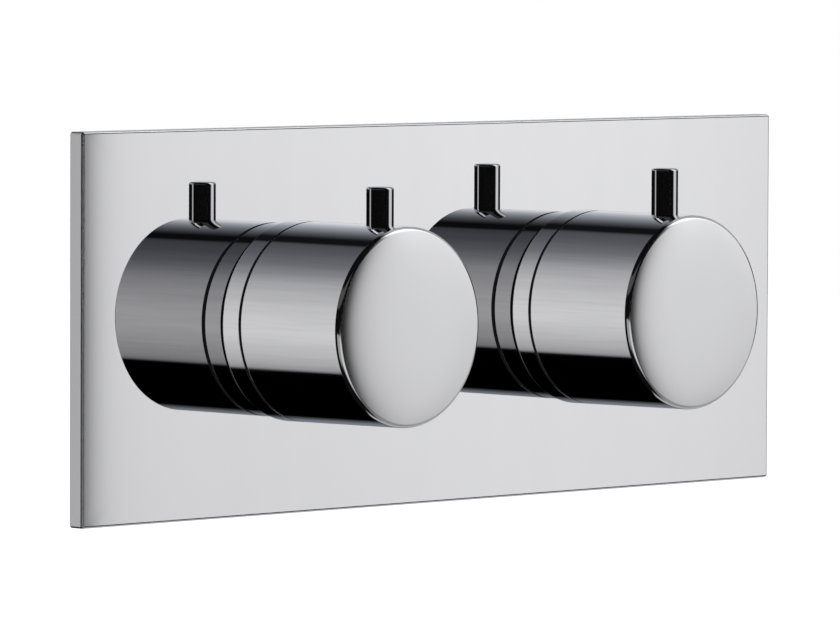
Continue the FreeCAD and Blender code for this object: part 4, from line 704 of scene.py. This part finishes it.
def pierced(piece, centre, radius, end):
    """Drills a round blind hole straight up into a piece from below, and keeps the old skin's normals."""
    old = piece.copy()
    old.data = piece.data.copy()
    drill_line = np.array([(0, DRILL_FOOT), (radius, DRILL_FOOT), (radius, end), (0, end)])
    drill_lean = np.array([(0, -1), (1, -1), (1, 1), (0, 1)], float)
    drill = skinned("drill", [turned(drill_line, drill_lean, centre, (0, 0, 1), 48)], piece.data.materials[0])
    bpy.context.scene.collection.objects.link(old)
    cut = piece.modifiers.new("cut", "BOOLEAN")
    cut.object = drill
    cut.solver = "EXACT"
    carry = piece.modifiers.new("carry", "DATA_TRANSFER")
    carry.object = old
    carry.use_loop_data = True
    carry.data_types_loops = {"CUSTOM_NORMAL"}
    carry.loop_mapping = "NEAREST_POLYNOR"
    carry.use_max_distance = True
    carry.max_distance = 0.0002
    piece.data = bpy.data.meshes.new_from_object(piece.evaluated_get(bpy.context.evaluated_depsgraph_get()))
    piece.modifiers.clear()
    for spare in (old, drill):
        bpy.data.objects.remove(spare)


def grooved(line, groove, radius):
    """Which points of a profile lie in a groove, below the radius that stands round it."""
    rear, front, _ = groove
    return (line[:, 1] > rear - GROOVE_LIP) & (line[:, 1] < front + GROOVE_LIP) & (line[:, 0] < radius)


def paint_shade_in_hollows(material):
    """Paints shade into grooves, bores and the end faces between parts, where the hollow attribute is 1:
    there the chrome is dull and nearly black.
    """
    hollow = material.node_tree.nodes.new("ShaderNodeAttribute")
    hollow.attribute_name = "hollow"
    masked(material, hollow.outputs["Fac"], (0.008, 0.008, 0.010), 0.6)


# painted shade: the rear barrels' chrome is coloured darker than the knobs' bright chrome
painted_shade_chrome = finish("polished_chrome_painted_darker", worked((1500, 45, 1500), 0.0000002, 0.3),
                     (0.285, 0.285, 0.297), (0.395, 0.395, 0.412), metallic=1, rough=0.08, smooth=0.04)
# painted shade in the rear barrels' grooves, bores and end faces
paint_shade_in_hollows(painted_shade_chrome)
groove_rear, groove_front, groove_floor = HANDLE_GROOVE
handle_line, handle_lean = rounded(
    [(HANDLE_BORE, 0.020), (HANDLE_BORE, HANDLE_REAR), (HANDLE_RADIUS, HANDLE_REAR),
     (HANDLE_RADIUS, groove_rear), (groove_floor, groove_rear), (groove_floor, groove_front),
     (HANDLE_RADIUS, groove_front), (HANDLE_RADIUS, HANDLE_FRONT), (RECESS, HANDLE_FRONT),
     (RECESS, WEB_FRONT), (WEB_HOLE, WEB_FRONT), (WEB_HOLE, WEB_REAR), (HANDLE_BORE, WEB_REAR),
     (HANDLE_BORE, 0.020)],
    [0.0003, 0.0004, 0.0001, 0.0001, 0.0001, 0.0001, 0.0004, 0.0002, 0.0002, 0.0002, 0.0002, 0.0004])
# where painted shade goes on a rear barrel: both ends, the bore and web, and the groove
at_ends = (handle_line[:, 1] < HANDLE_REAR + 0.0002) | (handle_line[:, 1] > HANDLE_FRONT - 0.0003)
handle_painted_shade = (handle_line[:, 0] < HANDLE_RADIUS - 0.0003) | at_ends
handle_painted_shade = (handle_painted_shade | grooved(handle_line, HANDLE_GROOVE, HANDLE_RADIUS - 0.00002)).astype(float)
for stack, body in (("left", "left_flow"), ("right", "right_outer")):
    across, up = STACKS[stack]
    skin = turned(handle_line, handle_lean, (across, 0, up), (0, -1, 0), deep=handle_painted_shade)
    handle = skinned(stack + "_rear_barrel", [skin], painted_shade_chrome)
    pierced(handle, (across, -GRUB_PLACE, up), GRUB_RADIUS, GRUB_END)
    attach(handle, body)
    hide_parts(stack + "_rear_handle")


# ---- front knobs
# Turned brass cups, plated in bright chrome: polished round the side, duller on the softly domed face.
# A spigot at the rear turns in the rear handle's recess. A fine groove runs round near the rear.

KNOB_REAR, KNOB_FACE = 0.0457, 0.08725
KNOB_REAR_RADIUS, KNOB_FRONT_RADIUS = 0.0252, 0.0249
KNOB_BORE, KNOB_BORE_END = 0.0165, 0.08125
SPIGOT, SPIGOT_REAR = 0.0192, 0.04115
KNOB_GROOVE = (0.051575, 0.052375, 0.0244)
KNOB_EDGE = 0.0013
KNOB_GRUB_PLACE, KNOB_GRUB_RADIUS, KNOB_GRUB_END = 0.05825, 0.00205, -0.0120
FACE_LEAN, RIM_LEAN = 0.063, 0.080
FACE_FADE = 0.0004


def knob_radius(u):
    """The slightly tapered side's radius at a distance from the wall."""
    taper = (KNOB_FRONT_RADIUS - KNOB_REAR_RADIUS) * (u - KNOB_REAR)
    return KNOB_REAR_RADIUS + taper / (KNOB_FACE - KNOB_REAR)


# the face is a shallow dome whose slope is FACE_LEAN * share^2 + RIM_LEAN * share^8 at a share of its radius
face_share = np.linspace(1, 0, 33)
face_reach = KNOB_FRONT_RADIUS - KNOB_EDGE
face_radii = face_reach * face_share
face_height = KNOB_FACE - face_reach * (FACE_LEAN * face_share ** 3 / 3 + RIM_LEAN * face_share ** 9 / 9)
face_slope = FACE_LEAN * face_share ** 2 + RIM_LEAN * face_share ** 8
groove_rear, groove_front, groove_floor = KNOB_GROOVE
knob_line, knob_lean = rounded(
    [(0, KNOB_BORE_END), (KNOB_BORE, KNOB_BORE_END), (KNOB_BORE, SPIGOT_REAR), (SPIGOT, SPIGOT_REAR),
     (SPIGOT, KNOB_REAR), (KNOB_REAR_RADIUS, KNOB_REAR), (knob_radius(groove_rear), groove_rear),
     (groove_floor, groove_rear), (groove_floor, groove_front), (knob_radius(groove_front), groove_front),
     (KNOB_FRONT_RADIUS, face_height[0] - face_slope[0] * (KNOB_FRONT_RADIUS - face_reach)),
     (face_radii[0], face_height[0])],
    [0.0004, 0.0003, 0.0003, 0.0002, 0.0004, 0.0001, 0.0001, 0.0001, 0.0001, KNOB_EDGE * 0.98], steps=8)
knob_line = np.vstack([knob_line[:-1], np.stack([face_radii, face_height], 1)])
knob_lean = np.vstack([knob_lean[:-1], np.stack([face_slope, np.ones(len(face_share))], 1)])
bright_chrome = finish("bright_chrome", worked((1500, 45, 1500), 0.0000002, 0.3),
                       (0.575, 0.575, 0.585), (0.755, 0.755, 0.770), metallic=1, rough=0.08, smooth=0.04)
tree = bright_chrome.node_tree
depth = tree.nodes.new("ShaderNodeSeparateXYZ")
tree.links.new(tree.nodes["Texture Coordinate"].outputs["Object"], depth.inputs[0])
on_face = step(tree, depth.outputs["Y"], FACE_FADE - face_height[0], -face_height[0])
masked(bright_chrome, on_face, (0.530, 0.530, 0.542), 0.15)
# painted shade in the knobs' grooves, bores and rear faces
paint_shade_in_hollows(bright_chrome)
# where painted shade goes on a knob: the rear, the spigot and bore, and the groove
knob_skin = (knob_line[:, 1] > KNOB_REAR + 0.0003) & (knob_line[:, 0] > KNOB_REAR_RADIUS - 0.0007)
knob_skin = knob_skin | (knob_line[:, 1] > face_height[0] - KNOB_EDGE)
in_groove = grooved(knob_line, KNOB_GROOVE, knob_radius(groove_rear) - 0.00003)
knob_painted_shade = np.where(knob_skin & ~in_groove, 0.0, 1.0)
for stack, body in (("left", "left_temperature"), ("right", "right_inner")):
    across, up = STACKS[stack]
    skin = turned(knob_line, knob_lean, (across, 0, up), (0, -1, 0), deep=knob_painted_shade)
    knob = skinned(stack + "_front_barrel", [skin], bright_chrome)
    pierced(knob, (across, -KNOB_GRUB_PLACE, up), KNOB_GRUB_RADIUS, KNOB_GRUB_END)
    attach(knob, body)
    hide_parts(stack + "_front_knob")


# ---- hubs and grub screws
# Turned brass hubs, pressed into the handles and knobs, slide on the splined stems.
# A headless screw of blackened steel with a hexagon socket goes in from below and locks each one.

coat(left_brass, "left_rear_hub", "left_knob_hub")
coat(right_brass, "right_rear_hub", "right_knob_hub")
black_steel = finish("black_steel", worked((1500, 1500, 1500), 0.000004, 0.2),
                     (0.020, 0.020, 0.022), (0.050, 0.050, 0.054), metallic=0.7, rough=0.50, smooth=0.30)
coat(black_steel, "left_rear_grub_screw", "left_front_grub_screw", "right_rear_grub_screw",
     "right_front_grub_screw")


# ---- pin levers
# Short round pins of plated brass, turned with a rounded top and screwed into the barrels from above.

PIN_RADIUS = 0.00342
PIN_REACH = {"left": 0.0095, "right": 0.0118}
PIN_SEAT, PIN_TOP_EDGE = 0.0014, 0.0007
REAR_PIN_PLACE, FRONT_PIN_PLACE = 0.0121, 0.07585
PIN_MIRRORED, PIN_FRONT_MIRRORED = 0.0045, 0.0160
PINS = {
    "left_rear_pin": ("left", "left_flow", REAR_PIN_PLACE, HANDLE_RADIUS),
    "left_front_pin": ("left", "left_temperature", FRONT_PIN_PLACE, knob_radius(FRONT_PIN_PLACE)),
    "right_rear_pin": ("right", "right_outer", REAR_PIN_PLACE, HANDLE_RADIUS),
    "right_front_pin": ("right", "right_inner", FRONT_PIN_PLACE, knob_radius(FRONT_PIN_PLACE)),
}
pin_chrome = finish("pin_chrome", worked((900, 900, 200), 0.0000004, 0.12),
                    (0.42, 0.422, 0.44), (0.47, 0.472, 0.485), metallic=1, rough=0.07, smooth=0.05)
# other metal mirrors a pin only from this near, which is the barrel at its foot: the front side of the pin a
# little higher up than the rest, and none of it in the plate or the far knob, where its image would be lost
tree = pin_chrome.node_tree
rays = tree.nodes.new("ShaderNodeLightPath")
facing = tree.nodes.new("ShaderNodeSeparateXYZ")
tree.links.new(tree.nodes["Texture Coordinate"].outputs["Normal"], facing.inputs[0])
on_front = step(tree, facing.outputs["Y"], -0.68, -0.72)
more = calc(tree, "MULTIPLY", on_front, PIN_FRONT_MIRRORED - PIN_MIRRORED)
far = calc(tree, "GREATER_THAN", rays.outputs["Ray Length"], calc(tree, "ADD", PIN_MIRRORED, more))
lost = calc(tree, "MULTIPLY", far, rays.outputs["Is Glossy Ray"])
tree.links.new(calc(tree, "SUBTRACT", 1.0, lost), tree.nodes["Principled BSDF"].inputs["Alpha"])
for pin, (stack, body, u, barrel) in PINS.items():
    top = barrel + PIN_REACH[stack]
    pin_line, pin_lean = rounded(
        [(0, barrel - PIN_SEAT), (PIN_RADIUS, barrel - PIN_SEAT), (PIN_RADIUS, top), (0, top)],
        [0.0001, PIN_TOP_EDGE], steps=10)
    centre = (STACKS[stack][0], -u, STACKS[stack][1])
    lever = skinned(pin + "_turned", [turned(pin_line, pin_lean, centre, (0, 0, 1), 96)], pin_chrome)
    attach(lever, body)
    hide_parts(pin)


# ---- studio
# A pale floor below the object, a soft lamp above the front left, and a world that camera rays see as white.
# Polished metal sees the studio round it: a large soft panel at the front right, an arc of light and shade
# behind the stacks, and weaker lights on the other sides.

FLOOR, FLOOR_HALF = -0.20, 3


def band(tree, value, rise, full, still, fall):
    """A smooth band of a value: 0 before rise and after fall, 1 from full to still."""
    return calc(tree, "MULTIPLY", step(tree, value, rise, full), step(tree, value, fall, still))


corners = [(x * FLOOR_HALF, y * FLOOR_HALF, FLOOR) for x, y in ((-1, -1), (1, -1), (1, 1), (-1, 1))]
floor_mesh = bpy.data.meshes.new("floor")
floor_mesh.from_pydata(corners, [], [(0, 1, 2, 3)])
floor = bpy.data.objects.new("floor", floor_mesh)
bpy.context.scene.collection.objects.link(floor)
pale = bpy.data.materials.new("pale_floor")
pale.use_nodes = True
for socket, value in (("Base Color", (0.85, 0.85, 0.85, 1)), ("Roughness", 0.9), ("Specular IOR Level", 0.1),
                      ("Emission Color", (1, 1, 1, 1)), ("Emission Strength", 0.45)):
    pale.node_tree.nodes["Principled BSDF"].inputs[socket].default_value = value
floor_mesh.materials.append(pale)

# polished metal mirrors the studio and the pins, but no other piece and not the floor
for piece in bpy.data.objects:
    if piece.type == "MESH" and not piece.name.endswith("_pin_turned"):
        piece.visible_glossy = False

world = bpy.data.worlds.new("studio")
bpy.context.scene.world = world
world.use_nodes = True
sky = world.node_tree
sky.nodes.clear()
split = sky.nodes.new("ShaderNodeSeparateXYZ")
sky.links.new(sky.nodes.new("ShaderNodeTexCoord").outputs["Generated"], split.inputs[0])
east, north, high = split.outputs

# light on the arc behind the stacks, by its angle from the left horizon over the top to the right
around = calc(sky, "ARCTAN2", high, calc(sky, "MULTIPLY", east, -1.0))
arc = sky.nodes.new("ShaderNodeValToRGB")
sky.links.new(calc(sky, "ADD", calc(sky, "MULTIPLY", around, 0.5 / math.pi), 0.5), arc.inputs[0])
ARC_LIGHT = [
    (-180, 0.20, 0.21, 0.25), (-165, 0.24, 0.25, 0.29), (-150, 0.19, 0.20, 0.23), (-136, 0.0, 0.0, 0.0),
    (-56, 0.0, 0.0, 0.0), (-52.8, 0.42, 0.42, 0.43), (-46, 0.57, 0.57, 0.57), (-31, 0.71, 0.71, 0.71),
    (-11, 0.86, 0.86, 0.86), (5, 0.84, 0.84, 0.84), (21, 0.74, 0.74, 0.745), (46, 0.54, 0.54, 0.56),
    (59, 0.34, 0.345, 0.365), (71, 0.215, 0.22, 0.24), (85, 0.145, 0.15, 0.17), (103, 0.09, 0.095, 0.11),
    (106.5, 0.008, 0.008, 0.01), (116, 0.008, 0.008, 0.01), (120, 0.045, 0.047, 0.053),
    (125, 0.10, 0.105, 0.12), (132, 0.20, 0.21, 0.235), (139, 0.32, 0.335, 0.37), (146, 0.45, 0.465, 0.51),
    (154, 0.60, 0.62, 0.67), (163, 0.74, 0.76, 0.81), (173, 0.82, 0.84, 0.88), (180, 0.20, 0.21, 0.25),
]
ramp = arc.color_ramp
for end in (0, -1):
    ramp.elements[end].position = (ARC_LIGHT[end][0] + 180) / 360
    ramp.elements[end].color = (*ARC_LIGHT[end][1:], 1)
for angle, *colour in ARC_LIGHT[1:-1]:
    ramp.elements.new((angle + 180) / 360).color = (*colour, 1)
arc_band = band(sky, north, 0.60, 0.64, 0.76, 0.80)

# the front right panel, by azimuth from its dark left edge, and brighter upwards
azimuth = calc(sky, "ARCTAN2", north, east)
PANEL_TOP, PANEL_GAIN, PANEL_RISE = 1.2, 1.2, 1.1
PANEL_LIGHT = [(-60, 0.0), (-57.5, 0.03), (-55, 0.30), (-53, 0.58), (-50, 0.82), (-47, 1.01), (-45, 1.12),
               (-43.5, 1.13), (-42, 1.07), (-38, 1.03), (-24, 1.04), (-17, 0.0)]
panel = sky.nodes.new("ShaderNodeFloatCurve")
curve = panel.mapping.curves[0]
curve.points[0].location = (0, 0)
curve.points[1].location = (1, 0)
for angle, light in PANEL_LIGHT:
    curve.points.new((angle + 180) / 360, light / PANEL_TOP)
for point in curve.points:
    point.handle_type = "VECTOR"
panel.mapping.update()
sky.links.new(calc(sky, "ADD", calc(sky, "MULTIPLY", azimuth, 0.5 / math.pi), 0.5), panel.inputs["Value"])
brighter = calc(sky, "ADD", 1.0, calc(sky, "MULTIPLY", high, PANEL_RISE))
panel_light = calc(sky, "MULTIPLY", panel.outputs[0], band(sky, high, -0.75, -0.60, 0.75, 0.90), brighter,
                   PANEL_TOP * PANEL_GAIN)

# weaker light from above on the right, from both sides, from the floor and from behind the wall: each is a
# product of where it stands, and its last factor is its brightness
not_arc = step(sky, north, 0.55, 0.45)
off_level = calc(sky, "ABSOLUTE", high, 0)
overhead = calc(sky, "MULTIPLY", step(sky, high, 0.35, 0.70), step(sky, east, 0.25, 0.50), not_arc, 0.6)
right = calc(sky, "MULTIPLY", band(sky, azimuth, *np.radians([-22, -14, 60, 70])),
             step(sky, high, 0.65, 0.55), not_arc, step(sky, off_level, 0.10, 0.20), 0.55)
left = calc(sky, "MULTIPLY", band(sky, high, 0.28, 0.36, 0.58, 0.66), step(sky, east, -0.10, -0.30), not_arc,
            0.10)
# low panels straight ahead and at the front left, under the level that the upright pins mirror
low_front = band(sky, high, -0.65, -0.45, -0.115, -0.095)
ahead = calc(sky, "MULTIPLY", band(sky, azimuth, *np.radians([-115, -108, -78, -69])), low_front, 1.0)
front_left = calc(sky, "MULTIPLY", band(sky, azimuth, *np.radians([-170, -160, -112, -105])), low_front, 0.45)
below = calc(sky, "MULTIPLY", step(sky, high, -0.35, -0.55), step(sky, east, 0.15, 0.40), not_arc, 0.40)
behind_wall = calc(sky, "MULTIPLY", step(sky, north, 0.80, 0.88), step(sky, off_level, 0.10, 0.20), 0.65)
panel_light = calc(sky, "MAXIMUM", panel_light, overhead, right, left, ahead, front_left, below,
                   behind_wall, 0.006)

studio = sky.nodes.new("ShaderNodeMix")
studio.data_type = "RGBA"
sky.links.new(arc_band, studio.inputs["Factor"])
grey = sky.nodes.new("ShaderNodeCombineColor")
for slot in range(3):
    sky.links.new(panel_light, grey.inputs[slot])
sky.links.new(grey.outputs[0], studio.inputs["A"])
sky.links.new(arc.outputs["Color"], studio.inputs["B"])

# that studio is for glossy rays: camera rays see white, and the others an even light
rays = sky.nodes.new("ShaderNodeLightPath")
seen = sky.nodes.new("ShaderNodeMix")
seen.data_type = "RGBA"
seen.inputs["A"].default_value = (0.75, 0.75, 0.75, 1)
sky.links.new(rays.outputs["Is Glossy Ray"], seen.inputs["Factor"])
sky.links.new(studio.outputs["Result"], seen.inputs["B"])
behind = sky.nodes.new("ShaderNodeMix")
behind.data_type = "RGBA"
behind.inputs["B"].default_value = (1, 1, 1, 1)
plain = calc(sky, "MAXIMUM", rays.outputs["Is Camera Ray"], rays.outputs["Is Transmission Ray"])
sky.links.new(plain, behind.inputs["Factor"])
sky.links.new(seen.outputs["Result"], behind.inputs["A"])
glow = sky.nodes.new("ShaderNodeBackground")
sky.links.new(behind.outputs["Result"], glow.inputs["Color"])
shown = sky.nodes.new("ShaderNodeOutputWorld")
sky.links.new(glow.outputs[0], shown.inputs["Surface"])
world.cycles.sampling_method = "NONE"

lamp_data = bpy.data.lights.new("soft_lamp", "AREA")
lamp_data.size = 0.9
lamp_data.energy = 9
lamp = bpy.data.objects.new("soft_lamp", lamp_data)
lamp.location = (-0.9, -1.1, 1.3)
lamp.visible_glossy = False
bpy.context.scene.collection.objects.link(lamp)
lamp.rotation_euler = (-lamp.location).to_track_quat("-Z", "Y").to_euler()

# the camera stands where the photograph's lines meet: left of the plate, a little above it, far away
AZIMUTH, ELEVATION, ROLL = np.radians([-45.3, 3.13, 0.23])
TARGET, DISTANCE = np.array([-0.00312, 0, -0.00071]), 2.013
back = np.array([math.sin(AZIMUTH) * math.cos(ELEVATION), -math.cos(AZIMUTH) * math.cos(ELEVATION),
                 math.sin(ELEVATION)])
level = np.array([math.cos(AZIMUTH), math.sin(AZIMUTH), 0])
upright = np.cross(back, level)
camera_data = bpy.data.cameras.new("camera")
camera_data.sensor_width = 36
camera_data.lens = 327.5
camera_data.clip_end = 100
camera = bpy.data.objects.new("camera", camera_data)
bpy.context.scene.collection.objects.link(camera)
turn = np.eye(4)
turn[:3, 0] = math.cos(ROLL) * level + math.sin(ROLL) * upright
turn[:3, 1] = math.cos(ROLL) * upright - math.sin(ROLL) * level
turn[:3, 2] = back
turn[:3, 3] = TARGET + DISTANCE * back
camera.matrix_world = turn.T.tolist()
bpy.context.scene.camera = camera
bpy.context.scene.view_settings.view_transform = "Standard"
